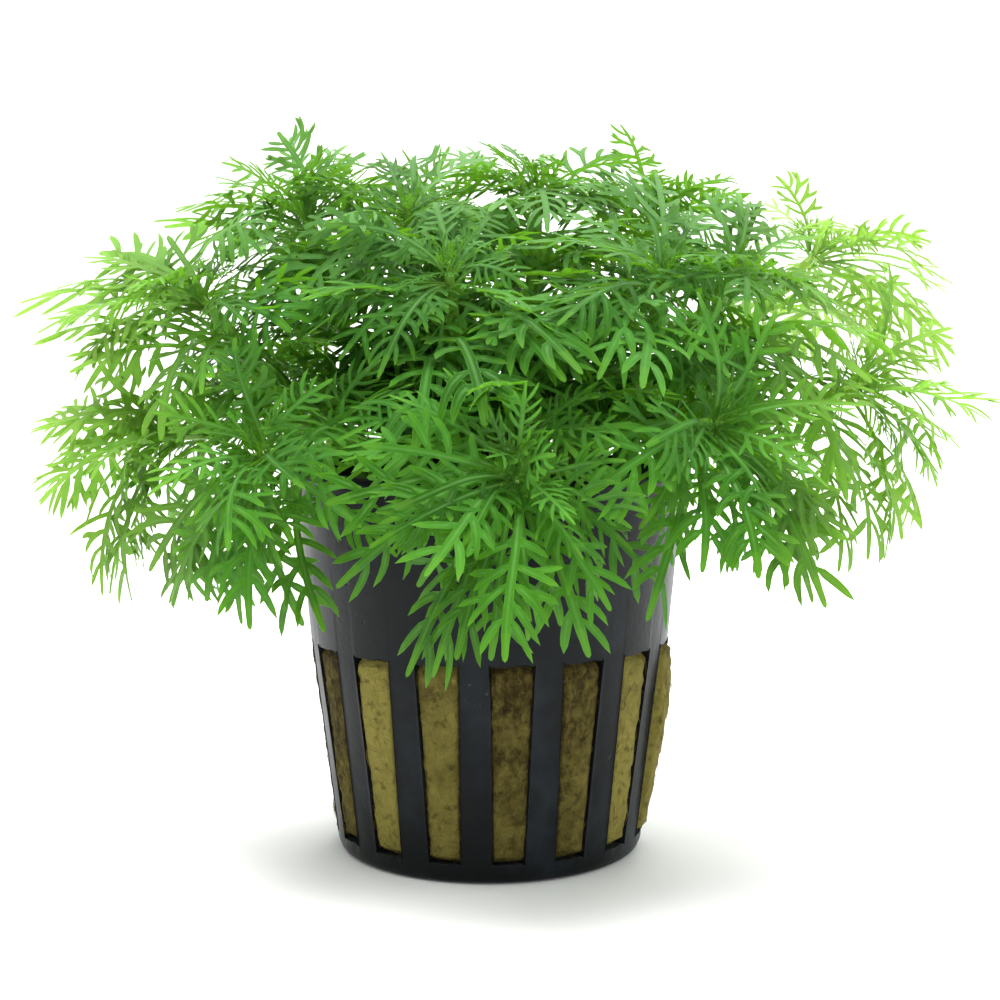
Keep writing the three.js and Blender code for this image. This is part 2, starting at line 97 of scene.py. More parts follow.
# The net pot, only here: the rounding of its lip and its mouth, how much wider a slot is at its
# top than at its foot, and where and how widely the plastic is scuffed
LIP_ROUNDING = 0.3 * MM
MOUTH_ROUNDING = 0.2 * MM
SLOT_WIDENING = 0.18
SCUFF = (-1.4 * MM, -24.5 * MM, 24.0 * MM)
SCUFF_SIZE = 4 * MM

# The rock wool, only here: its rows of faces above the slots, the rings of its top, and how
# yellow it is from 0, brown, to 1, olive. The seen slots are counted from the front to the right.
UPPER_ROWS = 5
TOP_RINGS = 7
SLOT_TINTS = {13: 0.2, 14: 1.0, 15: 0.52, 0: 0.13, 1: 0.24, 2: 0.85, 3: 0.8}
INNER_TINT = 0.45

# The wool's loose fibres, only here: how many shapes they have and the seed of their places
STRANDS = 4
FIBRE_SEED = 4

# Where the rock wool and the stems meet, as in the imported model
WOOL_TOP = 47 * MM
WOOL_SLACK = 0.45 * MM
STEM_DEPTH = 4
STEM_COLLAR = 3
STEM_RISE = 0.42
STEM_REACH = 0.38
LEAFY_END = 11.2
LONG_LEAFY_END = 16
TIER_SPLIT = 5.6
TIER_MARGIN = 1
CORE_RADIUS = 1.3

# The stems, only here: how far from its crown each ends, and the radians of the wave of their
# knuckles for each metre of stem
STEM_END = 0.2
KNUCKLE_TURNS = 1500.0

# How leaves are placed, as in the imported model
GOLDEN_TURN = 137.5
LOW_LENGTH = 24
HIGH_LENGTH = 18
LOW_SPREAD = 86
HIGH_SPREAD = 62
SAG = 0.22
LOW_ARCH = 0.17
HIGH_ARCH = 0.12
ARCH_PLACE = 0.45
UPTURN = 0.6
TRIALS = 26
TRIAL_STEP = 0.5
SEEDS_PER_SHOOT = 40
SEEDS_PER_TIER = 20

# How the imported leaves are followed, only here: how near a point of the model a tip has to be,
# how far up a packed leaf may have been pushed and still be kept, and how far it may be off
# before a second leaf ends where the plant has its tip
TIP_MATCH = 0.03 * MM
PUSHED_UP = 1.5
PUSHED_OFF = 2.4

# The length of a leaf of middling width, and the length from which a leaf has a long stalk
MEAN_LENGTH = 19
LONG_LEAF = 22.5

# How leaves sit, by where they grow: their arch, how far they fold about the midrib, how far they
# may roll and which share of them is open
HABITS = {
    "low": {"arch": LOW_ARCH, "fold": (-0.7, 0.2), "roll": 0.25, "open": 0.8},
    "high": {"arch": HIGH_ARCH, "fold": (-0.3, 0.3), "roll": 0.25, "open": 0.35},
    "seen": {"arch": HIGH_ARCH, "fold": (-0.4, 0.2), "roll": 0.25, "open": 0.5},
    "filler": {"arch": LOW_ARCH, "fold": (-0.5, 0.3), "roll": 0.6, "open": 0.5},
}
STEM_FOLD = (-0.3, 0.25)

# The leaves that are only here: the seeds of their chances, where the seen ones start on the
# shoot's axis, where the others start on their spirals, and their room round the pot
EXTRA_SEEDS = 50
FILLER_SEED = 1000
STEM_SEED = 2000
CROWN_SEED = 3000
SEEN_BACK = 3
FILLER_PLACE = 9
FILLER_SHIFT = 0.37
CROWN_TURN = 31
POT_ROOM = 2.5 * MM
STEM_LEAF_LENGTHS = (16, 23)
YOUNGEST_LENGTH = 3.0

# The seed of the leaf shapes' chances, and the stations along a midrib: those of its stalk, and
# those of each pair of lobes
BLADE_SEED = 11
STALK_STATIONS = 3
PAIR_STATIONS = 6

# Forked lobes. A fork is the step of the lobe where it starts and its edge: 1 towards the leaf's
# foot, -1 towards its end.
FORKED_STEPS = 7
FORKED_LENGTH = 1.15
FIRST_FORK = (2, 1)
SECOND_FORK = (4, -1)
FORK_STEPS = 4
FORK_WIDTH = 0.9

# The four families of leaf shapes. Open leaves hang low and have few lobes far apart, dense leaves
# are nearer the crowns, leaves longer than LONG_LEAF have a long stalk, and young ones close each
# crown. For each: its pairs of lobes, the length of its stalk, how much of a pair's stretch a
# lobe's foot takes, the lobes' length as a share of the leaf, their width against the others',
# their angles at the leaf's foot and at its end, where along a half wave their lengths end, how
# much later the end lobe starts, the share of forked lobes and the steps of a plain one.
FAMILIES = {
    "open": {
        "pairs": 4, "stalk": (0.2, 0.32), "foot": 0.26, "length": 0.26, "wide": 1.06,
        "angles": (56, 38), "last": 0.62, "later": 0.03, "forked": 0.6, "steps": 5,
    },
    "dense": {
        "pairs": 6, "stalk": (0.12, 0.22), "foot": 0.32, "length": 0.225, "wide": 0.84,
        "angles": (48, 32), "last": 0.70, "later": 0.0, "forked": 0.35, "steps": 4,
    },
    "long": {
        "pairs": 4, "stalk": (0.34, 0.44), "foot": 0.28, "length": 0.22, "wide": 0.95,
        "angles": (56, 36), "last": 0.63, "later": 0.03, "forked": 0.6, "steps": 5,
    },
    "young": {
        "pairs": 4, "stalk": (0.08, 0.16), "foot": 0.42, "length": 0.23, "wide": 1.6,
        "angles": (44, 28), "last": 0.75, "later": 0.0, "forked": 0.0, "steps": 3,
    },
}

# Each shoot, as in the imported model: whether its leafy stretch is long, where its stem is planted,
# where its crown is, which way the crown leans (bearing from +X and height in degrees), where its
# golden-angle spiral starts, where its best seen leaves end, and how many more leaves the spiral
# adds to the lower and the upper tier. Only here: how far its leaves face the front, how yellow
# they are, where more seen leaves end and the share of unseen leaves between them.
SHOOTS = [
    {
        "name": "front_high", "tall": True, "root": (-3, -8), "crown": (-5, -12, 76), "lean": (-95, 58),
        "turn": 60, "more": (3, 1),
        "low": [(-9, -36, 53), (-1, -38, 57), (9, -34, 62), (14, -28, 61), (-22, -22, 71), (-28, -14, 69)],
        "high": [(9, -28, 66), (17, -14, 70), (13, -2, 79), (2, 2, 83), (-7, 0, 84), (-20, -8, 79)],
        "seen": [(-18, -20, 64), (-13, -26, 62), (-23, -16, 66), (-26, -14, 68)],
    },
    {
        "name": "front_low", "root": (2, -16), "crown": (3, -37, 51), "lean": (-90, -8),
        "turn": 80, "more": (0, 1),
        "low": [(-17, -36, 39), (-9, -41, 30), (-2, -43, 33), (11, -40, 32), (16, -34, 43)],
        "high": [(13, -40, 37), (-7, -47, 42), (2, -48, 33), (15, -38, 53), (4, -38, 62), (-14, -36, 55)],
        "seen": [
            (-15, -28, 56), (-12, -42, 47), (9, -44, 47), (-18, -38, 49), (-3, -44, 45),
            (-6, -42, 43), (10, -42, 43),
        ],
    },
    {
        "name": "left_front", "face": 0.9, "root": (-10, -12), "crown": (-28, -25, 53), "lean": (-130, 0),
        "turn": 20, "more": (0, 1),
        "low": [(-19, -30, 33), (-27, -34, 34), (-37, -28, 36), (-41, -20, 39), (-17, -34, 51)],
        "high": [(-38, -34, 49), (-40, -24, 59), (-30, -20, 66), (-18, -26, 62), (-28, -42, 44)],
        "seen": [
            (-14, -20, 55), (-37, -14, 34), (-22, -37, 44), (-14, -37, 46), (-33, -34, 47),
            (-38, -22, 35), (-29, -24, 33), (-33, -26, 36), (-22, -26, 33), (-19, -28, 54),
            (-16, -30, 52), (-22, -24, 55),
        ],
        "fill": 0.45,
    },
    {
        "name": "left_low", "face": 0.6, "root": (-16, -4), "crown": (-43, -6, 54), "lean": (-168, -4),
        "turn": 100, "more": (0, 1),
        "low": [(-47, -14, 35), (-55, -14, 46), (-48, -20, 46), (-42, 6, 40)],
        "high": [(-58, -6, 55), (-58, 3, 50), (-51, 2, 64), (-43, -22, 50)],
        "seen": [(-60, 0, 54), (-57, -8, 46), (-43, -12, 38), (-49, -10, 37), (-46, -2, 37)],
        "fill": 0.6,
    },
    {
        "name": "left_high", "face": 0.2, "tall": True,
        "root": (-11, 1), "crown": (-38, -2, 73), "lean": (-165, 50),
        "turn": 0, "more": (2, 1),
        "low": [(-52, -10, 62), (-58, -4, 66), (-62, 4, 71), (-34, -22, 60), (-42, 16, 64)],
        "high": [(-54, 6, 77), (-50, 14, 78), (-29, -18, 68), (-42, -20, 72), (-30, 4, 84)],
        "seen": [
            (-24, -18, 67), (-57, -6, 67), (-52, -8, 62), (-43, 8, 80), (-49, 4, 76), (-52, 8, 78),
            (-57, 4, 73), (-50, 6, 61), (-58, 8, 68),
        ],
    },
    {
        "name": "left_back", "tall": True, "root": (-12, 8), "crown": (-26, 16, 85), "lean": (140, 66),
        "turn": 45, "more": (2, 1),
        "low": [(-46, 22, 82), (-36, 36, 80), (-32, -2, 76), (-14, 32, 78)],
        "high": [(-38, 24, 91), (-29, 29, 95), (-19, 26, 92), (-38, 6, 85)],
        "seen": [
            (-30, 24, 70), (-18, 28, 70), (-40, 10, 83), (-12, 22, 88), (-32, 30, 86), (-18, 2, 89),
            (-22, 4, 91), (-43, 14, 84), (-38, 22, 88), (-29, 18, 95), (-20, 28, 94), (-22, 24, 93),
            (-13, 14, 91),
        ],
        "fill": 1.15,
    },
    {
        "name": "middle", "tall": True, "root": (-4, 2), "crown": (-11, 6, 84), "lean": (-110, 72),
        "turn": 30, "more": (3, 1),
        "low": [(-18, -14, 80), (-2, 24, 86), (-28, 4, 78)],
        "high": [(-1, -7, 80), (-21, 4, 88), (-14, 21, 91)],
        "seen": [
            (-26, 8, 86), (-2, -6, 82), (-20, 18, 87), (-4, 20, 87), (-18, -12, 72), (-15, 16, 92),
            (-10, 20, 92),
        ],
        "fill": 1.25,
    },
    {
        "name": "top", "tall": True, "root": (3, 7), "crown": (7, 17, 88), "lean": (70, 76),
        "turn": 10, "more": (3, 1),
        "low": [(20, 2, 82), (-8, 26, 86), (9, 40, 86)],
        "high": [(19, 24, 92), (0, 4, 86), (-2, 22, 94), (13, 4, 85)],
        "seen": [
            (14, 2, 82), (18, 8, 82), (-6, 10, 88), (0, 30, 90), (16, 6, 86), (22, 14, 87),
            (-4, 24, 90), (12, 34, 89), (2, 26, 94), (8, 28, 93), (0, 12, 92), (-3, 14, 86),
        ],
        "fill": 1.2,
    },
    {
        "name": "right_high", "tall": True, "root": (10, 0), "crown": (32, -3, 76), "lean": (-35, 60),
        "turn": 75, "more": (2, 1),
        "low": [(52, -6, 66), (46, -16, 62), (24, -25, 66), (40, 18, 74)],
        "high": [(47, 4, 74), (37, 12, 85), (20, -16, 72), (30, -24, 69), (38, -18, 70)],
        "seen": [(29, 8, 86), (34, 12, 86), (44, 12, 80)],
    },
    {
        "name": "right_inner", "tall": True, "root": (5, -5), "crown": (22, -10, 75), "lean": (-70, 58),
        "turn": 130, "more": (3, 1),
        "low": [(7, -26, 70), (17, -34, 61), (28, -27, 62)],
        "high": [(22, 8, 80), (12, 6, 80), (13, -24, 76)],
        "seen": [
            (7, -20, 71), (18, 2, 88), (22, 4, 88), (28, 4, 83), (8, -30, 68), (12, -32, 62),
            (9, 3, 83),
        ],
    },
    {
        "name": "right_front", "face": 0.8, "root": (11, -10), "crown": (27, -26, 57), "lean": (-62, 8),
        "turn": 50, "more": (0, 1),
        "low": [(18, -35, 35), (23, -37, 41), (39, -30, 36), (40, -24, 44), (12, -32, 54)],
        "high": [(29, -40, 40), (38, -33, 50), (17, -38, 55), (33, -24, 71), (24, -26, 72)],
        "seen": [
            (16, -37, 46), (20, -36, 51), (10, -38, 49), (31, -36, 46), (38, -26, 36),
            (34, -28, 38), (28, -30, 40),
        ],
        "fill": 0.4,
    },
    {
        "name": "right_low", "root": (17, -1), "crown": (49, -2, 61), "lean": (-4, 22),
        "turn": 120, "more": (0, 1),
        "low": [(47, -12, 39), (52, -8, 41), (58, 4, 41), (46, -22, 56), (44, 18, 52)],
        "high": [(65, 0, 56), (58, -13, 53), (60, 8, 64), (52, 2, 76)],
        "seen": [(63, 8, 59), (58, 2, 49), (51, -4, 38), (60, 12, 57), (61, 8, 46), (62, 8, 68)],
        "fill": 0.4,
    },
    {
        "name": "right_back", "tall": True, "root": (14, 8), "crown": (48, 24, 80), "lean": (20, 44),
        "turn": 0, "more": (2, 1), "yellow": 0.55,
        "low": [(65, 24, 61), (56, 10, 66), (38, 40, 68), (52, 42, 66)],
        "high": [(67, 30, 73), (62, 20, 80), (40, 20, 89), (50, 38, 84)],
        "seen": [
            (67, 26, 74), (66, 24, 62), (65, 30, 68), (40, 30, 86), (43, 24, 84), (49, 24, 84),
            (41, 26, 82), (38, 22, 79), (44, 18, 77), (54, 20, 72), (45, 8, 82), (60, 12, 77),
        ],
        "fill": 0.5,
    },
    {
        "name": "back_low", "root": (1, 17), "crown": (0, 38, 53), "lean": (90, -4),
        "turn": 15, "more": (4, 4), "low": [], "high": [],
    },
    {
        "name": "back_left", "root": (-9, 14), "crown": (-30, 30, 60), "lean": (138, 12),
        "turn": 95, "more": (4, 4), "low": [], "high": [],
    },
    {
        "name": "back_right", "root": (10, 14), "crown": (30, 32, 57), "lean": (42, 10),
        "turn": 150, "more": (4, 4), "low": [], "high": [],
    },
    {
        "name": "back_high", "tall": True, "root": (-3, 11), "crown": (-8, 34, 82), "lean": (100, 50),
        "turn": 70, "more": (6, 4), "low": [], "high": [],
        "seen": [
            (-22, 36, 70), (-14, 38, 68), (-2, 40, 70), (-24, 30, 86), (6, 32, 88), (-12, 20, 88),
            (-20, 42, 84), (-13, 34, 94), (-6, 38, 95),
        ],
        "fill": 1.1,
    },
    {
        "name": "back_right_high", "tall": True, "root": (7, 11), "crown": (24, 28, 85), "lean": (50, 54),
        "turn": 35, "more": (6, 4), "low": [], "high": [],
        "seen": [
            (12, 36, 74), (22, 40, 72), (10, 26, 84), (14, 38, 82), (38, 22, 84), (10, 30, 88),
            (28, 14, 86), (34, 36, 85), (29, 30, 89), (24, 34, 91), (22, 10, 89), (33, 12, 88),
        ],
        "fill": 1.0,
    },
]


# The stage: the floor's front edge, where it starts to bend up, its bend, its half width and the
# top of its back wall, the lamps, the place they shine on and the width of the camera's sensor in
# millimetres
FLOOR_FRONT = -0.9
FLOOR_BACK = 0.55
FLOOR_BEND = 0.25
BEND_STEPS = 12
FLOOR_HALF = 1.6
WALL_TOP = 1.6
LAMPS = {"key": (-0.12, -0.08, 0.75), "fill": (0.35, -0.5, 0.35), "back": (0.1, 0.42, 0.6)}
LAMP_SIZE = 0.5
LIT_PLACE = Vector((0.0, 0.0, 0.06))
SENSOR = 36.0


class Wire:
    """A node's output, on which sums are written as Python expressions."""

    def __init__(self, graph, socket):
        self.graph = graph
        self.socket = socket

    def _is_vector(self):
        return self.socket.type == "VECTOR"

    def _sum(self, operation, first, second):
        wires = [value for value in (first, second) if isinstance(value, Wire)]
        vector = any(wire._is_vector() for wire in wires)
        kind = "ShaderNodeVectorMath" if vector else "ShaderNodeMath"
        return self.graph.add(kind, {0: first, 1: second}, operation=operation)

    def __add__(self, other):
        return self._sum("ADD", self, other)

    __radd__ = __add__

    def __sub__(self, other):
        return self._sum("SUBTRACT", self, other)

    def __rsub__(self, other):
        return self._sum("SUBTRACT", other, self)

    def __mul__(self, other):
        by_vector = isinstance(other, Wire) and other._is_vector()
        if self._is_vector() == by_vector:
            return self._sum("MULTIPLY", self, other)
        if by_vector:
            return other * self
        return self.graph.add("ShaderNodeVectorMath", {0: self, "Scale": other}, operation="SCALE")

    __rmul__ = __mul__

    def __abs__(self):
        return self.wave("ABSOLUTE")

    def cross(self, other):
        return self.graph.add("ShaderNodeVectorMath", {0: self, 1: other}, operation="CROSS_PRODUCT")

    def wave(self, operation):
        """A sum of one number, such as the sine of an angle in radians."""
        return self.graph.add("ShaderNodeMath", {0: self}, operation=operation)

    def unit(self):
        return self.graph.add("ShaderNodeVectorMath", {0: self}, operation="NORMALIZE")

    def length(self):
        return self.graph.add("ShaderNodeVectorMath", {0: self}, out="Value", operation="LENGTH")

    def split(self):
        """The three parts of a vector."""
        node = self.graph.add("ShaderNodeSeparateXYZ", {0: self}).socket.node
        return [Wire(self.graph, output) for output in node.outputs]


class Graph:
    """Adds nodes to a node tree, with their settings and the values or links of their sockets."""

    def __init__(self, tree):
        self.tree = tree

    def add(self, kind, values=None, out=0, **settings):
        """Adds a node and returns one of its outputs."""
        node = self.tree.nodes.new(kind)
        for name, value in settings.items():
            setattr(node, name, value)
        for key, value in (values or {}).items():
            self.feed(node.inputs[key], value)
        return Wire(self, node.outputs[out])

    def feed(self, socket, value):
        """Links a wire to a socket, or gives the socket a value. A colour has three parts."""
        if isinstance(value, Wire):
            self.tree.links.new(value.socket, socket)
        elif socket.type == "RGBA":
            socket.default_value = (*value, 1.0)
        else:
            socket.default_value = value

    def mix(self, factor, first, second):
        """Mixes two colours."""
        node = self.tree.nodes.new("ShaderNodeMix")
        node.data_type = "RGBA"
        colours = [socket for socket in node.inputs if socket.type == "RGBA"]
        self.feed(node.inputs[0], factor)
        self.feed(colours[0], first)
        self.feed(colours[1], second)
        output = next(socket for socket in node.outputs if socket.type == "RGBA")
        return Wire(self, output)

    def clamp(self, value, low, high, first=0.0, second=1.0, smooth=False):
        """Maps a value from low..high to first..second and holds it there."""
        return self.add(
            "ShaderNodeMapRange",
            {"Value": value, "From Min": low, "From Max": high, "To Min": first, "To Max": second},
            interpolation_type="SMOOTHSTEP" if smooth else "LINEAR",
        )


class Finish(Graph):
    """A new material's node tree, with the coordinates and patterns that its finish reads."""

    def __init__(self, name):
        self.material = bpy.data.materials.new(name)
        self.material.use_nodes = True
        super().__init__(self.material.node_tree)
        self.tree.nodes.clear()
        self.place = self.add("ShaderNodeTexCoord", out="Object")

    def attribute(self, name):
        return self.add("ShaderNodeAttribute", out="Fac", attribute_name=name)

    def noise(self, scale, detail, roughness=0.5, stretch=None):
        place = self.place
        if stretch:
            place = self.add("ShaderNodeMapping", {"Vector": place, "Scale": stretch})
        values = {"Vector": place, "Scale": scale, "Detail": detail, "Roughness": roughness}
        return self.add("ShaderNodeTexNoise", values, out="Fac")

    def bump(self, height, distance, strength):
        return self.add(
            "ShaderNodeBump", {"Height": height, "Distance": distance, "Strength": strength}
        )

    def principled(self, **values):
        """The main shader, its sockets named with underscores for spaces."""
        named = {name.replace("_", " "): value for name, value in values.items()}
        return self.add("ShaderNodeBsdfPrincipled", named)

    def close(self, shader):
        output = self.tree.nodes.new("ShaderNodeOutputMaterial")
        self.tree.links.new(shader.socket, output.inputs["Surface"])
        return self.material


class Grower(Graph):
    """A new geometry tree with named inputs, run once on an object whose result it leaves plain."""

    def __init__(self, name, inputs):
        tree = bpy.data.node_groups.new(name, "GeometryNodeTree")
        tree.is_modifier = True
        super().__init__(tree)
        tree.interface.new_socket("Geometry", in_out="INPUT", socket_type="NodeSocketGeometry")
        for label, kind in inputs.items():
            tree.interface.new_socket(label, in_out="INPUT", socket_type=kind)
        tree.interface.new_socket("Geometry", in_out="OUTPUT", socket_type="NodeSocketGeometry")
        self.entry = tree.nodes.new("NodeGroupInput")
        self.geometry = self.input("Geometry")

    def input(self, label):
        return Wire(self, self.entry.outputs[label])

    def attribute(self, name, kind="FLOAT"):
        return self.add(
            "GeometryNodeInputNamedAttribute", {"Name": name}, out="Attribute", data_type=kind
        )

    def close(self, geometry):
        """Ends the tree with the instances realized and the material set."""
        solid = self.add("GeometryNodeRealizeInstances", {0: geometry})
        finished = self.add(
            "GeometryNodeSetMaterial", {"Geometry": solid, "Material": self.input("Material")}
        )
        output = self.tree.nodes.new("NodeGroupOutput")
        self.tree.links.new(finished.socket, output.inputs[0])

    def grow(self, name, source, values):
        """Runs the tree on an object and returns its result as a plain mesh object."""
        identifiers = {
            item.name: item.identifier
            for item in self.tree.interface.items_tree
            if item.item_type == "SOCKET" and item.in_out == "INPUT"
        }
        modifier = source.modifiers.new(self.tree.name, "NODES")
        modifier.node_group = self.tree
        for label, value in values.items():
            modifier[identifiers[label]] = value
        bpy.context.view_layer.update()
        depsgraph = bpy.context.evaluated_depsgraph_get()
        mesh = bpy.data.meshes.new_from_object(
            source.evaluated_get(depsgraph), preserve_all_data_layers=True, depsgraph=depsgraph
        )
        source.modifiers.remove(modifier)
        drop(source)
        return link(name, mesh)


def link(name, data):
    """Puts a new object into the scene at the origin and names its data after it."""
    piece = bpy.data.objects.new(name, data)
    data.name = name
    bpy.context.scene.collection.objects.link(piece)
    return piece


def drop(piece):
    """Takes an object away with its data."""
    data = piece.data
    bpy.data.objects.remove(piece)
    if isinstance(data, bpy.types.Mesh) and not data.users:
        bpy.data.meshes.remove(data)
    elif isinstance(data, bpy.types.Curve) and not data.users:
        bpy.data.curves.remove(data)


def mesh_from(name, points, faces):
    """A mesh with smooth shading."""
    mesh = bpy.data.meshes.new(name)
    mesh.from_pydata([tuple(point) for point in points], [], faces)
    mesh.validate()
    mesh.shade_smooth()
    return mesh


def write_attribute(mesh, name, kind, values):
    """Stores one value for each point of a mesh."""
    layer = mesh.attributes.new(name, kind, "POINT")
    if kind == "FLOAT_VECTOR":
        layer.data.foreach_set("vector", [part for value in values for part in value])
    else:
        layer.data.foreach_set("value", values)


def settle(piece, nodes):
    """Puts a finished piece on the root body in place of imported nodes."""
    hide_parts(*nodes)
    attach(piece, "root")


def apply_modifiers(piece):
    """Turns a piece and its modifiers into one plain mesh."""
    bpy.context.view_layer.update()
    depsgraph = bpy.context.evaluated_depsgraph_get()
    mesh = bpy.data.meshes.new_from_object(piece.evaluated_get(depsgraph), depsgraph=depsgraph)
    mesh.name = piece.name
    piece.modifiers.clear()
    piece.data = mesh


def chance(a, b, c):
    """Repeatable chance between 0 and 1 for any three numbers."""
    wave = math.sin(a * 12.9898 + b * 78.233 + c * 37.719) * 43758.5453
    return wave - math.floor(wave)


def lerp(first, second, share):
    return first + (second - first) * share


def on_ring(radius, height, bearing):
    """A point round the pot's axis."""
    return Vector((radius * math.cos(bearing), radius * math.sin(bearing), height))


# Finishes


def leaf_finish(settings):
    """Green leaf with a pale midrib and edges, drifting greens and light that comes through.

    The leaves at the sides are lighter by painted light, the top ones and some of the palest ones have a
    painted whitish sheen, and the stalks are yellow.
    """
    finish = Finish("leaf_green")
    shade = finish.attribute("shade")
    rib = finish.attribute("rib")
    reach = finish.attribute("reach")
    yellow = finish.attribute("yellow")
    drift = finish.noise(140.0, 2.0)
    mottle = finish.noise(900.0, 3.0, 0.6)
    across, _, height = finish.place.split()
    # Painted light: leaves farther out to the sides are mixed towards a lighter green, in place of the
    # light that reaches them from around the plant.
    outer = finish.clamp(abs(across), 30 * MM, 62 * MM, 0.0, settings.painted_side_light)
    # Painted sheen: leaves higher up are mixed towards a whitish green in place of reflections of the sky.
    upper = finish.clamp(height, 68 * MM, 94 * MM, 0.0, settings.top_painted_sheen)
    blend = finish.clamp(shade * 0.65 + drift * 0.5, 0.25, 0.85)
    green = finish.mix(blend, settings.dark_green, settings.bright_green)
    green = finish.mix(finish.clamp(mottle, 0.35, 0.75, 0.0, 0.25), green, settings.bright_green)
    green = finish.mix(finish.clamp(reach, 0.55, 1.0, 0.0, 0.35), green, settings.tip_green)
    green = finish.mix(outer, green, settings.painted_side_light_green)
    # Painted sheen: the whitish green goes more on paler leaves, and also on the palest leaves at any
    # height.
    painted_sheen_share = upper * (shade + 0.5) + finish.clamp(shade, 0.5, 1.0, 0.0, settings.random_painted_sheen)
    green = finish.mix(painted_sheen_share, green, settings.painted_sheen_green)
    green = finish.mix(yellow, green, settings.yellow_green)
    colour = finish.mix(finish.clamp(rib, 0.3, 0.95, 0.0, 0.9), green, settings.rib_green)
    edge = finish.clamp(rib, 0.0, 0.16, settings.margin, 0.0)
    colour = finish.mix(edge, colour, settings.rib_green)
    stalk = finish.clamp(rib - reach * 14.0, 0.0, 0.9, 0.0, 0.8)
    colour = finish.mix(stalk, colour, settings.stalk_yellow)
    veins = finish.noise(2600.0, 2.0)
    blade = finish.principled(
        Base_Color=colour,
        Roughness=finish.clamp(drift + mottle * 0.5, 0.4, 1.1, 0.34, 0.52),
        Normal=finish.bump(veins, 0.06 * MM, 0.5),
        Specular_IOR_Level=settings.gloss,
        Sheen_Weight=settings.sheen,
        Sheen_Roughness=0.4,
    )
    glow = finish.add(
        "ShaderNodeBsdfTranslucent", {"Color": finish.mix(0.6, colour, settings.glow_green)}
    )
    return finish.close(
        finish.add("ShaderNodeMixShader", {0: settings.light_through, 1: blade, 2: glow})
    )


def stem_finish(settings):
    """Yellow-green stem with fine lengthwise streaks, greener inside the plant."""
    finish = Finish("stem_green")
    streaks = finish.noise(500.0, 3.0, 0.6, (1.0, 1.0, 0.15))
    patches = finish.noise(90.0, 2.0)
    inner = finish.clamp(abs(finish.place.split()[0]), 30 * MM, 45 * MM, 0.85, 0.0)
    green = finish.clamp(patches + inner, 0.35, 0.9)
    colour = finish.mix(green, settings.pale, settings.green)
    colour = finish.mix(finish.clamp(streaks, 0.45, 0.75, 0.0, 0.5), colour, settings.green)
    return finish.close(finish.principled(
        Base_Color=colour,
        Roughness=finish.clamp(streaks, 0.3, 0.8, 0.34, 0.5),
        Normal=finish.bump(streaks, 0.1 * MM, 0.5),
        Subsurface_Weight=0.15,
        Subsurface_Scale=1 * MM,
    ))


def pot_finish(settings):
    """Moulded black plastic: a satin face with smudges, dust, a few pits and one scuffed place."""
    finish = Finish("black_plastic")
    smudge = finish.noise(70.0, 4.0, 0.6)
    grain = finish.noise(1400.0, 2.0)
    from_scuff = finish.add(
        "ShaderNodeVectorMath", {0: finish.place, 1: SCUFF}, out="Value", operation="DISTANCE"
    )
    scuff = finish.clamp(from_scuff, 0.5 * MM, SCUFF_SIZE, 0.2, 0.0, True)
    specks = finish.noise(950.0, 3.0, 0.7) + scuff
    dust = finish.clamp(smudge, 0.46, 0.72, 0.0, 0.6, True)
    colour = finish.mix(dust, settings.plastic, settings.dust)
    colour = finish.mix(finish.clamp(specks, 0.73, 0.78, 0.0, 0.4), colour, settings.speck)
    pits = finish.clamp(finish.noise(430.0, 1.0, 0.4), 0.74, 0.8, 0.0, 1.0, True)
    return finish.close(finish.principled(
        Base_Color=colour,
        Roughness=finish.clamp(smudge, 0.3, 0.75, 0.3, 0.5),
        Normal=finish.bump(grain - pits * 3.0, 0.06 * MM, 0.6),
        Specular_IOR_Level=0.09,
        Sheen_Weight=0.1,
        Sheen_Roughness=0.3,
    ))


def wool_finish(settings, name, fibre):
    """Damp rock wool: olive yellow to brown, in streaks that follow the fibres."""
    finish = Finish(name)
    tint = finish.attribute("tint")
    patches = finish.noise(170.0, 4.0, 0.6)
    streaks = finish.noise(1300.0, 4.0, 0.7, (1.0, 1.0, 0.55))
    clumps_and_gap_shade = finish.noise(700.0, 4.0, 0.65)
    # The wool is mixed browner towards the top of the slots.
    browner_upwards = finish.clamp(finish.place.split()[2], 8 * MM, SLOT_TOP, 0.08, -0.12)
    mottle = finish.noise(560.0, 5.0, 0.72)
    blend = finish.clamp(patches * 0.6 + mottle * 0.7 + tint * 0.75 + browner_upwards, 0.65, 1.35)
    colour = finish.mix(blend, settings.brown, settings.olive)
    colour = finish.mix(finish.clamp(streaks, 0.42, 0.7, 0.0, 0.5), colour, settings.straw)
    # Painted shade: the gaps between the clumps are mixed towards the dark shadow colour.
    colour = finish.mix(finish.clamp(clumps_and_gap_shade, 0.5, 0.72, 0.0, 0.6, True), colour, settings.shadow)
    if fibre:
        colour = finish.mix(0.2, colour, settings.straw)
    return finish.close(finish.principled(
        Base_Color=colour,
        Roughness=finish.clamp(streaks, 0.3, 0.8, 0.62, 0.9),
        Normal=finish.bump(streaks + clumps_and_gap_shade * 0.6, 0.6 * MM, 0.9),
        Specular_IOR_Level=0.05,
    ))


# Net pot


def wall_radius(height):
    """Outer radius of the pot's wall at a height."""
    if height < SLOT_TOP:
        return lerp(POT_BASE_RADIUS, POT_SHOULDER_RADIUS, (height - POT_EDGE) / (SLOT_TOP - POT_EDGE))
    return lerp(POT_SHOULDER_RADIUS, POT_RIM_RADIUS, (height - SLOT_TOP) / (POT_HEIGHT - SLOT_TOP))


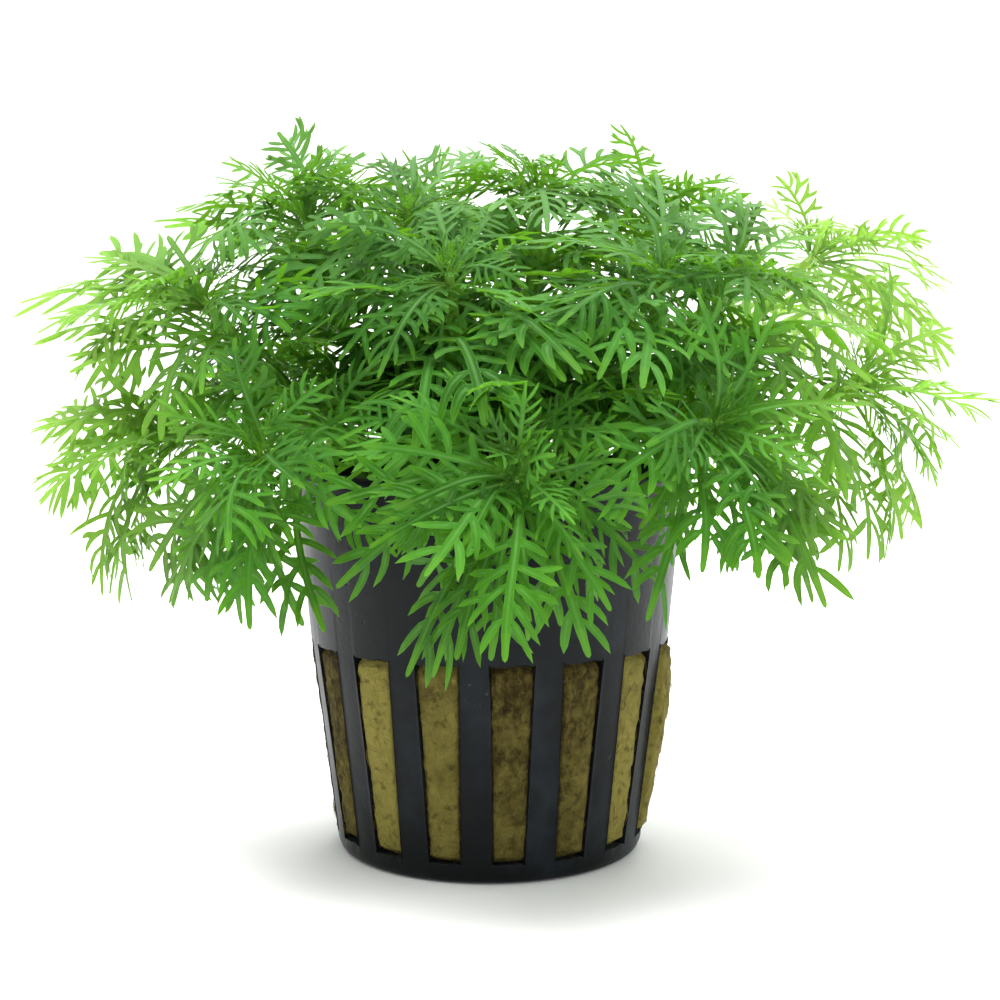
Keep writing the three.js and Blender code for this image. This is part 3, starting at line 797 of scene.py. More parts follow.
def slot_bearings(narrowed, steps):
    """Bearings round the pot, each slot and each rib cut into equal steps. Slots come first."""
    pitch = math.tau / SLOT_COUNT
    half = pitch * SLOT_SHARE / 2 - narrowed / POT_SHOULDER_RADIUS
    bearings = []
    for slot in range(SLOT_COUNT):
        middle = math.radians(SLOT_TURN - 90) + slot * pitch
        for step in range(steps):
            bearings.append(middle - half * math.cos(math.pi * step / steps))
        for step in range(steps):
            bearings.append(middle + half + (pitch - 2 * half) * step / steps)
    return bearings


def widened(bearing, height):
    """A bearing moved so that each slot is a little wider at its top than at its foot."""
    pitch = math.tau / SLOT_COUNT
    half = pitch * SLOT_SHARE / 2
    first = math.radians(SLOT_TURN - 90)
    middle = first + round((bearing - first) / pitch) * pitch
    off = bearing - middle
    rise = min(1, max(0, (height - SLOT_BOTTOM) / (SLOT_TOP - SLOT_BOTTOM)))
    edge = half * (1 + SLOT_WIDENING * rise)
    if abs(off) <= half:
        return middle + off * edge / half
    rib = (abs(off) - half) / (pitch / 2 - half)
    return middle + math.copysign(lerp(edge, pitch / 2, rib), off)


def turned_body(profile, bearings, bare):
    """Rings round the axis with faces between them, but for the faces that `bare` says to leave out."""
    count = len(bearings)
    points = [
        on_ring(radius, height, widened(bearing, height))
        for radius, height in profile
        for bearing in bearings
    ]
    faces = []
    for ring in range(len(profile) - 1):
        for sector in range(count):
            if not bare(ring, sector):
                low, high = ring * count, (ring + 1) * count
                after = (sector + 1) % count
                faces.append((low + sector, low + after, high + after, high + sector))
    faces.append(tuple(reversed(range(count))))
    faces.append(tuple(range((len(profile) - 1) * count, len(profile) * count)))
    return points, faces


def pot_profile(rows):
    """The pot's section, outside and then inside, and the rings where the slots start in each."""
    heights = [lerp(SLOT_BOTTOM, SLOT_TOP, row / rows) for row in range(rows + 1)]
    lip_foot = POT_HEIGHT - POT_LIP_HEIGHT
    lip_radius = POT_RIM_RADIUS + POT_LIP
    foot = [
        (POT_BASE_RADIUS - POT_EDGE, 0.0),
        (POT_BASE_RADIUS - POT_EDGE * 0.3, POT_EDGE * 0.3),
        (POT_BASE_RADIUS, POT_EDGE),
    ]
    outside = [(wall_radius(height), height) for height in heights]
    lip = [
        (wall_radius(lip_foot), lip_foot),
        (lip_radius, lip_foot + LIP_ROUNDING),
        (lip_radius, POT_HEIGHT - LIP_ROUNDING),
        (lip_radius - LIP_ROUNDING, POT_HEIGHT),
        (POT_RIM_RADIUS - POT_WALL + MOUTH_ROUNDING, POT_HEIGHT),
        (POT_RIM_RADIUS - POT_WALL, POT_HEIGHT - MOUTH_ROUNDING),
    ]
    inside = [(wall_radius(height) - POT_WALL, height) for height in reversed(heights)]
    floor = [(wall_radius(POT_FLOOR) - POT_WALL, POT_FLOOR)]
    return foot + outside + lip + inside + floor, len(foot), len(foot + outside + lip)


def slot_frames(first_outside, first_inside, rows, steps):
    """Faces through the wall round each slot, between rings of the outside and of the inside."""
    count = SLOT_COUNT * 2 * steps

    def outer(row, sector):
        return (first_outside + row) * count + sector % count

    def inner(row, sector):
        return (first_inside + rows - row) * count + sector % count

    faces = []
    for slot in range(SLOT_COUNT):
        first = slot * 2 * steps
        last = first + steps
        for row in range(rows):
            up = row + 1
            faces.append((outer(row, first), outer(up, first), inner(up, first), inner(row, first)))
            faces.append((outer(up, last), outer(row, last), inner(row, last), inner(up, last)))
        for near in range(first, last):
            far = near + 1
            faces.append((outer(0, far), outer(0, near), inner(0, near), inner(0, far)))
            faces.append((outer(rows, near), outer(rows, far), inner(rows, far), inner(rows, near)))
    return faces


def make_pot(settings):
    """The pot as one moulding with rounded edges, slots cut through its wall and a rolled lip."""
    steps = settings.steps
    rows = settings.rows
    profile, first_outside, first_inside = pot_profile(rows)

    def bare(ring, sector):
        in_slots = any(first <= ring < first + rows for first in (first_outside, first_inside))
        return in_slots and sector % (2 * steps) < steps

    points, faces = turned_body(profile, slot_bearings(0.0, steps), bare)
    faces += slot_frames(first_outside, first_inside, rows, steps)
    pot = link("net_pot", mesh_from("net_pot", points, faces))
    bevel = pot.modifiers.new("Rounded edges", "BEVEL")
    bevel.width = settings.edge
    bevel.segments = 2
    bevel.limit_method = "ANGLE"
    bevel.angle_limit = math.radians(38)
    apply_modifiers(pot)
    sharpen(pot.data, 50)
    pot.data.materials.append(pot_finish(settings))
    settle(pot, ["pot"])


def sharpen(mesh, angle):
    """Smooth shading but for edges that turn by more than an angle in degrees."""
    mesh.shade_smooth()
    body = bmesh.new()
    body.from_mesh(mesh)
    for edge in body.edges:
        edge.smooth = len(edge.link_faces) == 2 and edge.calc_face_angle() < math.radians(angle)
    body.to_mesh(mesh)
    body.free()


# Rock wool


def wool_profile(settings):
    """The plug's section: its foot, the stretch behind the slots, the rest of its side, its top."""
    slack = POT_WALL + WOOL_SLACK
    foot = SLOT_BOTTOM + settings.gap
    head = SLOT_TOP - settings.gap
    heights = [lerp(foot, head, row / settings.rows) for row in range(settings.rows + 1)]
    heights += [lerp(head, WOOL_TOP, row / UPPER_ROWS) for row in range(1, UPPER_ROWS + 1)]
    top = wall_radius(WOOL_TOP) - slack
    profile = [(wall_radius(foot) - slack, POT_FLOOR + settings.gap)]
    profile += [(wall_radius(height) - slack, height) for height in heights]
    return profile + [(top * (1 - ring / TOP_RINGS), WOOL_TOP) for ring in range(1, TOP_RINGS)]


def pad_radius(settings, slot, column, row, plain, height, rough):
    """Radius of the soft pad in a slot at a column and a row of its faces.

    The pad rises from the plug's plain radius, and its row is a share of the slot's height.
    """
    edge = min(column, settings.steps - column)
    ends = min(row, 1 - row) * settings.rows
    swell = (min(1.0, edge / 1.3) * min(1.0, ends * 0.9)) ** 0.4
    proud = -settings.recess
    if slot == BULGING_SLOT:
        proud = settings.bulge * math.sin(math.pi * lerp(0.12, 0.92, row ** 1.4))
    wave = (chance(slot, 7, 1) - 0.5) * math.sin(row * 5 + slot)
    outer = wall_radius(height) + proud + wave * settings.wave
    return lerp(plain, outer, swell) + rough * settings.rough * swell


def wool_points(settings):
    """Points, faces and tints of the plug: a turned body with a soft pad pressed into each slot."""
    steps = settings.steps
    rows = settings.rows
    bearings = slot_bearings(settings.gap, steps)
    profile = wool_profile(settings)
    points, faces = turned_body(profile, bearings, lambda ring, sector: False)
    tints = []
    for ring, (plain, height) in enumerate(profile):
        for sector, bearing in enumerate(bearings):
            slot, column = divmod(sector, 2 * steps)
            spot = ring * len(bearings) + sector
            rough = chance(ring * 0.37, sector * 0.61, 2.0) - 0.5
            if 1 <= ring <= rows + 1 and column < steps:
                row = (ring - 1) / rows
                radius = pad_radius(settings, slot, column, row, plain, height, rough)
                points[spot] = on_ring(radius, height, widened(bearing, height))
            elif ring > rows + UPPER_ROWS:
                points[spot].z += rough * settings.rough * 2.5
            seen_tint = SLOT_TINTS.get(slot, chance(slot, 3, 5))
            tints.append(seen_tint if ring <= rows + 2 else INNER_TINT)
    return points, faces, tints


def make_wool(settings):
    """The plug of wool, and loose fibres all over it."""
    points, faces, tints = wool_points(settings)
    mesh = mesh_from("wool_plug", points, faces)
    write_attribute(mesh, "tint", "FLOAT", tints)
    plug = link("wool_plug", mesh)
    texture = bpy.data.textures.new("wool_lumps", "CLOUDS")
    texture.noise_scale = settings.lump
    texture.noise_depth = 3
    lumps = plug.modifiers.new("Lumps", "DISPLACE")
    lumps.texture = texture
    lumps.texture_coords = "LOCAL"
    lumps.strength = settings.lump_height
    lumps.mid_level = 0.5
    apply_modifiers(plug)
    plug.data.materials.append(wool_finish(settings, "rock_wool", False))
    settle(plug, ["rock_wool"])
    make_fibres(settings, plug)


def fibre_strand(number):
    """One bent fibre of unit length along X, with a triangular section."""
    sides = 3
    steps = 4
    points = []
    faces = []
    for step in range(steps + 1):
        share = step / steps
        centre = Vector((
            share - 0.5,
            0.13 * math.sin(share * (2.2 + number) + number * 1.7),
            0.01 + 0.035 * math.sin(share * math.pi) * (1 + number % 2),
        ))
        radius = 0.016 * (1 - 0.7 * abs(share - 0.5) * 2)
        for side in range(sides):
            angle = math.tau * side / sides
            points.append(centre + Vector((0, radius * math.cos(angle), radius * math.sin(angle))))
    for step in range(steps):
        for side in range(sides):
            after = (side + 1) % sides
            low, high = step * sides, (step + 1) * sides
            faces.append((low + side, low + after, high + after, high + side))
    faces.append(tuple(reversed(range(sides))))
    faces.append(tuple(range(steps * sides, (steps + 1) * sides)))
    name = f"strand_{number}"
    return bpy.data.objects.new(name, mesh_from(name, points, faces))


def make_collection(name, pieces):
    """Gathers pieces that a geometry tree picks from."""
    group = bpy.data.collections.new(name)
    for piece in pieces:
        group.objects.link(piece)
    return group


def drop_collection(group):
    """Takes a collection away with its pieces."""
    for piece in list(group.objects):
        drop(piece)
    bpy.data.collections.remove(group)


def fibre_grower():
    """Scatters strands over a surface, each spun and sized by its own chance."""
    grower = Grower("Loose fibres", {
        "Strands": "NodeSocketCollection",
        "Density": "NodeSocketFloat",
        "Length": "NodeSocketFloat",
        "Seed": "NodeSocketInt",
        "Material": "NodeSocketMaterial",
    })
    spread = grower.add(
        "GeometryNodeDistributePointsOnFaces",
        {"Mesh": grower.geometry, "Density": grower.input("Density"), "Seed": grower.input("Seed")},
        distribute_method="RANDOM",
    )
    rotation = Wire(grower, spread.socket.node.outputs["Rotation"])
    strands = grower.add(
        "GeometryNodeCollectionInfo",
        {"Collection": grower.input("Strands"), "Separate Children": True, "Reset Children": True},
    )
    spin = grower.add(
        "FunctionNodeRandomValue", {2: 0.0, 3: math.tau, "Seed": grower.input("Seed")},
        out=1, data_type="FLOAT",
    )
    turned = grower.add(
        "FunctionNodeRotateRotation",
        {
            "Rotation": rotation,
            "Rotate By": grower.add("ShaderNodeCombineXYZ", {"Z": spin}),
        },
        rotation_space="LOCAL",
    )
    size = grower.add(
        "FunctionNodeRandomValue", {2: 0.5, 3: 1.3, "Seed": grower.input("Seed") + 1.0},
        out=1, data_type="FLOAT",
    )
    laid = grower.add("GeometryNodeInstanceOnPoints", {
        "Points": spread,
        "Instance": strands,
        "Pick Instance": True,
        "Rotation": turned,
        "Scale": size * grower.input("Length"),
    })
    grower.close(laid)
    return grower


def bears_fibres(face):
    """Says whether loose fibres lie on a face of the plug, which they do in the slots and on top."""
    centre = face.calc_center_median()
    in_slot = math.hypot(*centre.xy) >= wall_radius(centre.z) - POT_WALL
    return centre.z >= SLOT_BOTTOM and (in_slot or centre.z >= WOOL_TOP - 1 * MM)


def make_fibres(settings, plug):
    """Fine curled fibres that lie on the wool in the slots and on its top."""
    bed = bmesh.new()
    bed.from_mesh(plug.data)
    outside = [face for face in bed.faces if not bears_fibres(face)]
    bmesh.ops.delete(bed, geom=outside, context="FACES")
    mesh = bpy.data.meshes.new("fibre_bed")
    bed.to_mesh(mesh)
    bed.free()
    mesh.materials.clear()
    source = link("fibre_bed", mesh)
    strands = make_collection("strands", [fibre_strand(number) for number in range(STRANDS)])
    fibres = fibre_grower().grow("wool_fibres", source, {
        "Strands": strands,
        "Density": settings.density,
        "Length": settings.fibre,
        "Seed": FIBRE_SEED,
        "Material": wool_finish(settings, "wool_fibre", True),
    })
    drop_collection(strands)
    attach(fibres, "root")


# Stems and leaves


def lean_of(shoot):
    """The direction of a shoot's axis, towards its end."""
    bearing, height = (math.radians(angle) for angle in shoot["lean"])
    return Vector((
        math.cos(bearing) * math.cos(height),
        math.sin(bearing) * math.cos(height),
        math.sin(height),
    ))


def leafy_end(shoot):
    """How far back from the crown a shoot's lowest leaves are."""
    return LONG_LEAFY_END if shoot.get("tall") else LEAFY_END


def on_axis(shoot, back):
    """A place on a shoot's axis, so many millimetres back from its crown."""
    return Vector(shoot["crown"]) - lean_of(shoot) * back


def across_axis(shoot):
    """Two directions across a shoot's axis."""
    axis = lean_of(shoot)
    side = UP.cross(axis).normalized()
    return side, axis.cross(side)


def bezier(points, share):
    """A place on the curve that a few points draw."""
    while len(points) > 1:
        points = [lerp(first, second, share) for first, second in zip(points, points[1:])]
    return points[0]


def stem_route(shoot, steps):
    """The bare stem: straight up out of the wool, then over in one sweep to the leafy end."""
    x, y = shoot["root"]
    top = WOOL_TOP / MM
    foot = Vector((x, y, top - STEM_DEPTH))
    collar = Vector((x, y, top + STEM_COLLAR))
    end = on_axis(shoot, leafy_end(shoot))
    span = (end - collar).length
    rise = collar + UP * span * STEM_RISE
    reach = end - lean_of(shoot) * span * STEM_REACH
    sweep = [bezier([collar, rise, reach, end], step / steps) for step in range(1, steps + 1)]
    return [foot, lerp(foot, collar, 0.6), collar] + sweep


def whole_stem(shoot, steps):
    """The stem's route with its leafy stretch up to the crown."""
    leafy = [on_axis(shoot, lerp(leafy_end(shoot), STEM_END, step / 8)) for step in range(1, 9)]
    return stem_route(shoot, steps) + leafy


def stem_grower():
    """Sweeps a round section along a curve, thinner towards its end, with knuckles in an even wave along
    it.
    """
    grower = Grower("Stem", {
        "Foot Radius": "NodeSocketFloat",
        "End Radius": "NodeSocketFloat",
        "Knuckle": "NodeSocketFloat",
        "Sides": "NodeSocketInt",
        "Material": "NodeSocketMaterial",
    })
    along = grower.add("GeometryNodeSplineParameter", out="Length")
    share = grower.add("GeometryNodeSplineParameter", out="Factor")
    radius = grower.input("Foot Radius") + share * (
        grower.input("End Radius") - grower.input("Foot Radius")
    )
    wave = (along * KNUCKLE_TURNS).wave("SINE")
    radius = (radius + wave * grower.input("Knuckle")) * grower.clamp(share, 0.9, 1.0, 1.0, 0.3)
    circle = grower.add(
        "GeometryNodeCurvePrimitiveCircle",
        {"Resolution": grower.input("Sides"), "Radius": 1.0},
        mode="RADIUS",
    )
    tube = grower.add("GeometryNodeCurveToMesh", {
        "Curve": grower.geometry,
        "Profile Curve": circle,
        "Scale": radius,
        "Fill Caps": True,
    })
    grower.close(grower.add("GeometryNodeSetShadeSmooth", {0: tube}))
    return grower


def curve_from(name, points):
    """A curve of straight pieces through points in millimetres."""
    curve = bpy.data.curves.new(name, "CURVE")
    curve.dimensions = "3D"
    spline = curve.splines.new("POLY")
    spline.points.add(len(points) - 1)
    for target, point in zip(spline.points, points):
        target.co = (*(point * MM), 1.0)
    return link(name, curve)


def make_stems(settings):
    """Each shoot's stem, from its hole in the wool to its crown."""
    material = stem_finish(settings)
    grower = stem_grower()
    for shoot in SHOOTS:
        name = f"{shoot['name']}_bare_stem"
        stem = grower.grow(name, curve_from(name, whole_stem(shoot, settings.steps)), {
            "Foot Radius": settings.foot_radius,
            "End Radius": settings.end_radius,
            "Knuckle": settings.knuckle,
            "Sides": settings.sides,
            "Material": material,
        })
        settle(stem, [f"{shoot['name']}_stem"])


class Blade:
    """A leaf's mesh in its own small frame: Y along the midrib from 0 to 1, X across, Z up."""

    def __init__(self):
        self.points = []
        self.faces = []
        self.rib = []
        self.reach = []

    def point(self, place, rib, reach):
        self.points.append(place)
        self.rib.append(rib)
        self.reach.append(reach)
        return len(self.points) - 1

    def foot(self, half, thickness):
        """Starts the leaf with the closed end of its stalk and returns that end's ring."""
        places = [(-half, 0, 0), (0, 0, thickness * 0.3), (half, 0, 0), (0, 0, -thickness * 1.6)]
        left, top, right, bottom = (self.point(Vector(place), 0.6, 0.0) for place in places)
        self.faces.append((left, bottom, right, top))
        return left, top, right, bottom

    def limb(self, ring, route, widths, thickness, splits, rib, reaches):
        """Grows a flat limb from a ring of left, top, right and bottom points.

        Its cross-section is a shallow channel. At the stations in `splits` an edge has two
        points, between which a side limb grows. Returns the edges' points at each station.
        """
        edges = {-1: [(ring[0], ring[0])], 1: [(ring[2], ring[2])]}
        last = ring
        for step in range(1, len(route) - 1):
            way = (route[step + 1] - route[step - 1]).normalized()
            left = UP.cross(way).normalized()
            half = widths[step] / 2
            deep = thickness[step]
            reach = reaches[step]
            top = self.point(route[step] + UP * deep * 0.15, rib[step], reach)
            bottom = self.point(route[step] - UP * deep, rib[step] * 0.6, reach)
            sides = {}
            for side in (-1, 1):
                place = route[step] - left * half * side + UP * deep * 0.35
                if (step, side) in splits:
                    sides[side] = (
                        self.point(place + UP * deep * 0.2, 0.1, reach),
                        self.point(place - UP * deep * 0.9, 0.0, reach),
                    )
                else:
                    only = self.point(place, 0.0, reach)
                    sides[side] = (only, only)
                edges[side].append(sides[side])
            ahead = (sides[-1], top, sides[1], bottom)
            self._sleeve(last, ahead)
            last = ahead
        tip = self.point(route[-1], 0.0, reaches[-1])
        self._sleeve(last, ((tip, tip), tip, (tip, tip), tip))
        return edges

    def _sleeve(self, near, far):
        pairs = [self._both(near[0]), near[1], self._both(near[2]), near[3]]
        ends = [self._both(far[0]), far[1], self._both(far[2]), far[3]]
        (left_up, left_down), top, (right_up, right_down), bottom = pairs
        (end_left_up, end_left_down), end_top, (end_right_up, end_right_down), end_bottom = ends
        self._face(left_up, top, end_top, end_left_up)
        self._face(top, right_up, end_right_up, end_top)
        self._face(right_down, bottom, end_bottom, end_right_down)
        self._face(bottom, left_down, end_left_down, end_bottom)

    def _both(self, edge):
        return edge if isinstance(edge, tuple) else (edge, edge)

    def _face(self, *corners):
        kept = []
        for corner in corners:
            if corner not in kept:
                kept.append(corner)
        if len(kept) > 2:
            self.faces.append(tuple(kept))


def lobe_width(share):
    """Width of a lobe along it: nearly even, with a short point."""
    return (0.88 + 0.12 * math.sin(math.pi / 2 * min(1, share / 0.5))) * (1 - share ** 4) ** 0.6


def grow_lobe(blade, edge_points, edge, settings, steps, way, angle, length, lift, bend, wide, forks):
    """One narrow lobe that bends forwards, with a smaller lobe at each of its forks.

    It grows between three points of an edge, the left one, -1, or the right one, 1. Its `way` is
    the side of the leaf that it is on.
    """
    rear, split, front = edge_points
    left, right = (rear, front) if edge < 0 else (front, rear)
    start = (blade.points[rear[0]] + blade.points[front[0]]) / 2
    route = [start.copy()]
    for step in range(steps):
        heading = math.radians(angle + bend * (0.5 - (step + 0.5) / steps))
        ahead = Vector((way * math.sin(heading), math.cos(heading), 0.0)) * length / steps
        route.append(route[-1] + ahead)
    for step in range(1, steps + 1):
        route[step].z = start.z + lift * length * (step / steps) ** 2
    shares = [step / steps for step in range(steps + 1)]
    widths = [wide * lobe_width(min(share, 0.97)) for share in shares]
    deep = [settings.thickness * lerp(1.0, 0.6, share) for share in shares]
    rib = [lerp(0.75, 0.35, share) for share in shares]
    splits = {(place + 1, way * side) for place, side in forks}
    ring = (left[0], split[0], right[0], split[1])
    edges = blade.limb(ring, route, widths, deep, splits, rib, shares)
    for place, side in forks:
        grow_lobe(
            blade, edges[way * side][place:place + 3], way * side, settings, FORK_STEPS, way,
            angle + settings.fork_angle * side,
            length * (1 - (place + 1) / steps) * settings.fork_length, lift, bend,
            wide * FORK_WIDTH, (),
        )


def midrib_heights(stalk, last, pairs, foot):
    """Stations of a midrib: along its stalk, along each pair of lobes and up to its tip."""
    heights = [stalk * step / STALK_STATIONS for step in range(STALK_STATIONS + 1)]
    for pair in range(pairs):
        for part in (foot / 2, foot, 0.5, 0.5 + foot / 2, 0.5 + foot, 1.0):
            heights.append(lerp(stalk, last, ((pair + part) / pairs) ** 0.72))
    return heights + [lerp(last, 1.0, share) for share in (0.4, 0.75, 0.92, 1.0)]


def lobe_places(rng, pairs, missing):
    """Station, side and place up the leaf of each lobe. Its two sides may be half a pair apart."""
    first_side = rng.choice((-1, 1))
    offset = rng.choice((0, PAIR_STATIONS // 2, PAIR_STATIONS // 2))
    places = []
    for pair in range(pairs):
        for side in (-1, 1):
            shift = 0 if side == first_side else offset
            if pair == pairs - 1 or rng.random() > missing:
                station = STALK_STATIONS + PAIR_STATIONS * pair + shift
                places.append((station, side, pair / (pairs - 1)))
    return places


def fork_places(rng, share, forked):
    """The forks of a lobe at a share of the leaf's height. The lobes at its end have none."""
    if share < 0.8 and rng.random() < forked:
        return [FIRST_FORK, SECOND_FORK] if rng.random() < forked else [FIRST_FORK]
    return []


def make_blade(number, family, settings):
    """One shape of leaf: a channelled midrib with forward lobes, and three fingers at its end."""
    rng = random.Random(number + BLADE_SEED)
    habit = FAMILIES[family]
    young = family == "young"
    pairs = habit["pairs"] + (0 if young else rng.choice((-1, 0, 0, 1)))
    wide = settings.lobe_width * habit["wide"]
    last = settings.last_lobe + habit["later"]
    heights = midrib_heights(rng.uniform(*habit["stalk"]), last, pairs, habit["foot"])
    sway = rng.uniform(-0.03, 0.03)
    route = [Vector((sway * math.sin(height * 5), height, 0.0)) for height in heights]
    web = wide * (1.0 if young else settings.web)
    widths = [lerp(settings.rib_width, web, min(1, height / last) ** 1.2) for height in heights]
    widths[-4:] = [wide * share for share in (0.95, 0.85, 0.6, 0.1)]
    deep = [settings.thickness * lerp(1.6, 0.7, height) for height in heights]
    blade = Blade()
    foot = blade.foot(settings.rib_width * 0.6, settings.thickness)
    lobes = lobe_places(rng, pairs, settings.missing)
    splits = {(station + 1, side) for station, side, share in lobes}
    rib = [lerp(1.0, 0.5, height) for height in heights]
    reaches = [0.25 * height if height < last else height for height in heights]
    edges = blade.limb(foot, route, widths, deep, splits, rib, reaches)
    for station, side, share in lobes:
        edge_points = edges[side][station:station + 3]
        swell = math.sin(math.pi * lerp(0.25, habit["last"], share ** 0.8))
        length = habit["length"] * swell * rng.uniform(0.7, 1.2)
        angle = lerp(*habit["angles"], share) + rng.uniform(-11, 11)
        height = (blade.points[edge_points[0][0]].y + blade.points[edge_points[2][0]].y) / 2
        length = min(length, (1.02 - height) / math.cos(math.radians(angle)))
        forks = fork_places(rng, share, habit["forked"])
        grow_lobe(
            blade, edge_points, side, settings, FORKED_STEPS if forks else habit["steps"], side,
            angle, length * (FORKED_LENGTH if forks else 1.0),
            rng.uniform(-0.4, 0.3), settings.lobe_bend * rng.uniform(0.0, 2.0),
            wide * rng.uniform(0.85, 1.15), forks,
        )
    name = f"blade_{number:02d}"
    mesh = mesh_from(name, blade.points, blade.faces)
    sharpen(mesh, 60)
    write_attribute(mesh, "rib", "FLOAT", blade.rib)
    write_attribute(mesh, "reach", "FLOAT", blade.reach)
    return bpy.data.objects.new(name, mesh)


def leaf_grower():
    """Bends a leaf shape along the arch from each point to its tip, and folds it about its midrib."""
    grower = Grower("Leaves", {
        "Blades": "NodeSocketCollection",
        "Width": "NodeSocketFloat",
        "Droop": "NodeSocketFloat",
        "Material": "NodeSocketMaterial",
    })
    blades = grower.add(
        "GeometryNodeCollectionInfo",
        {"Collection": grower.input("Blades"), "Separate Children": True, "Reset Children": True},
    )
    placed = grower.add("GeometryNodeInstanceOnPoints", {
        "Points": grower.geometry,
        "Instance": blades,
        "Pick Instance": True,
        "Instance Index": grower.attribute("kind", "INT"),
    })
    leaves = grower.add("GeometryNodeRealizeInstances", {0: placed})
    base = grower.attribute("base", "FLOAT_VECTOR")
    middle = grower.attribute("middle", "FLOAT_VECTOR")
    tip = grower.attribute("tip", "FLOAT_VECTOR")
    facing = grower.attribute("facing", "FLOAT_VECTOR")
    spread = grower.attribute("spread")
    fold = grower.attribute("fold")
    x, along, z = (grower.add("GeometryNodeInputPosition") - base).split()
    near = middle - base
    far = tip - middle
    back = 1.0 - along
    place = base + near * (along * 2.0) + (far - near) * (along * along)
    ahead = (near * back + far * along).unit()
    side = ahead.cross(facing).unit()
    top = side.cross(ahead)
    twist = grower.attribute("twist") * along
    side = side * twist.wave("COSINE") + top * twist.wave("SINE")
    top = side.cross(ahead)
    length = (tip - base).length()
    out = abs(x)
    across = x * spread * grower.input("Width")
    raised = z + out * fold - out * out * grower.input("Droop")
    place = place + side * (across * length) + top * (raised * length)
    bent = grower.add("GeometryNodeSetPosition", {"Geometry": leaves, "Position": place})
    grower.close(grower.add("GeometryNodeSetShadeSmooth", {0: bent}))
    return grower


class Leaf:
    """Where one leaf is, in millimetres: its base, its tip and the arch between them.

    The arch bulges towards `lift`, and `facing` is where the upper side looks.
    """

    def __init__(self, base, tip, lift, arch, family, seed, facing, fold, **looks):
        chord = tip - base
        self.base = base
        self.tip = tip
        self.facing = facing
        bulge = lift - chord * (lift.dot(chord) / chord.length_squared)
        self.middle = base + chord * ARCH_PLACE + bulge.normalized() * 2 * chord.length * arch
        self.family = "long" if chord.length > LONG_LEAF else family
        self.seed = seed
        self.looks = {
            "spread": lerp(0.88, 1.12, chance(seed, 3, 4)) * (MEAN_LENGTH / chord.length) ** 0.45,
            "fold": lerp(*fold, chance(seed, 4, 6)),
            "twist": (chance(seed, 32, 2) - 0.5) * 1.3,
            "shade": chance(seed, 5, 9),
            **looks,
        }


def spiral_tip(shoot, foot, place, high):
    """Where the leaf at a place of the golden-angle spiral ends."""
    axis = lean_of(shoot)
    side, up = across_axis(shoot)
    turn = math.radians(shoot["turn"] + place * GOLDEN_TURN)
    spread = math.radians(HIGH_SPREAD if high else LOW_SPREAD)
    length = HIGH_LENGTH if high else LOW_LENGTH
    out = length * math.sin(spread)
    tip = foot + side * out * math.cos(turn) + up * out * math.sin(turn)
    tip += axis * length * math.cos(spread)
    tip.z = foot.z + out * math.sin(turn) * up.z + length * (math.cos(spread) * axis.z - SAG)
    return tip


def leaf_towards(shoot, foot, tip, seed, habit):
    """A leaf from the shoot's axis to a tip, its upper side towards the crown and the light.

    Each leaf is rolled about its midrib by its own chance.
    """
    axis = lean_of(shoot)
    chord = tip - foot
    outwards = (chord - axis * chord.dot(axis)).normalized()
    lift = (axis + UP * UPTURN).normalized()
    sideways = chord.cross(lift).normalized()
    roll = chance(seed, 31, 1) * 2 - 1
    facing = lift + FRONT * shoot.get("face", 0.0) + sideways * habit["roll"] * roll
    family = "open" if chance(seed, 33, 3) < habit["open"] else "dense"
    base = foot + outwards * CORE_RADIUS * 0.6
    return Leaf(base, tip, lift, habit["arch"], family, seed, facing, habit["fold"])


def tier_size(shoot, high):
    """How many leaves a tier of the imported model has."""
    return len(shoot["high" if high else "low"]) + shoot["more"][1 if high else 0]


def tier_leaves(shoot, number, place, high, tips_in_model):
    """The leaf at one place of a tier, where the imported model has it.

    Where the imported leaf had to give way, a leaf also ends where the plant has its tip, and takes
    the place of one that was pushed up.
    """
    tier = "high" if high else "low"
    tips = shoot[tier]
    first = (TIER_SPLIT if high else leafy_end(shoot)) - TIER_MARGIN
    last = (0 if high else TIER_SPLIT) + TIER_MARGIN
    foot = on_axis(shoot, lerp(first, last, place / max(1, tier_size(shoot, high) - 1)))
    wanted = Vector(tips[place]) if place < len(tips) else spiral_tip(shoot, foot, place, high)
    seed = number * SEEDS_PER_SHOOT + place + (SEEDS_PER_TIER if high else 0)
    packed = None
    for trial in range(TRIALS):
        drift = Vector([chance(seed, trial, part) - 0.5 for part in (1, 2, 3)]).normalized()
        tip = wanted + drift * trial * TRIAL_STEP
        away = tips_in_model.find(tip * MM)[2]
        if away < TIP_MATCH:
            packed = tip
            break
    ends = []
    if packed and packed.z - wanted.z < PUSHED_UP:
        ends.append(packed)
    if not ends or (place < len(tips) and (packed - wanted).length > PUSHED_OFF):
        ends.append(wanted)
    return [
        leaf_towards(shoot, foot, tip, seed + 7 * index, HABITS[tier])
        for index, tip in enumerate(ends)
    ]


def tip_finder(name):
    """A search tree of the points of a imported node."""
    vertices = frame["nodes"][name].data.vertices
    tree = KDTree(len(vertices))
    for index, vertex in enumerate(vertices):
        tree.insert(vertex.co, index)
    tree.balance()
    return tree


def clear_of_pot(leaf):
    """Says whether a leaf's arch stays out of the pot and the wool."""
    for step in range(2, 9):
        place = bezier([leaf.base, leaf.middle, leaf.tip], step / 8) * MM
        room = wall_radius(max(place.z, 0)) + POT_ROOM
        if place.z < POT_HEIGHT + 1 * MM and place.xy.length < room:
            return False
    return True


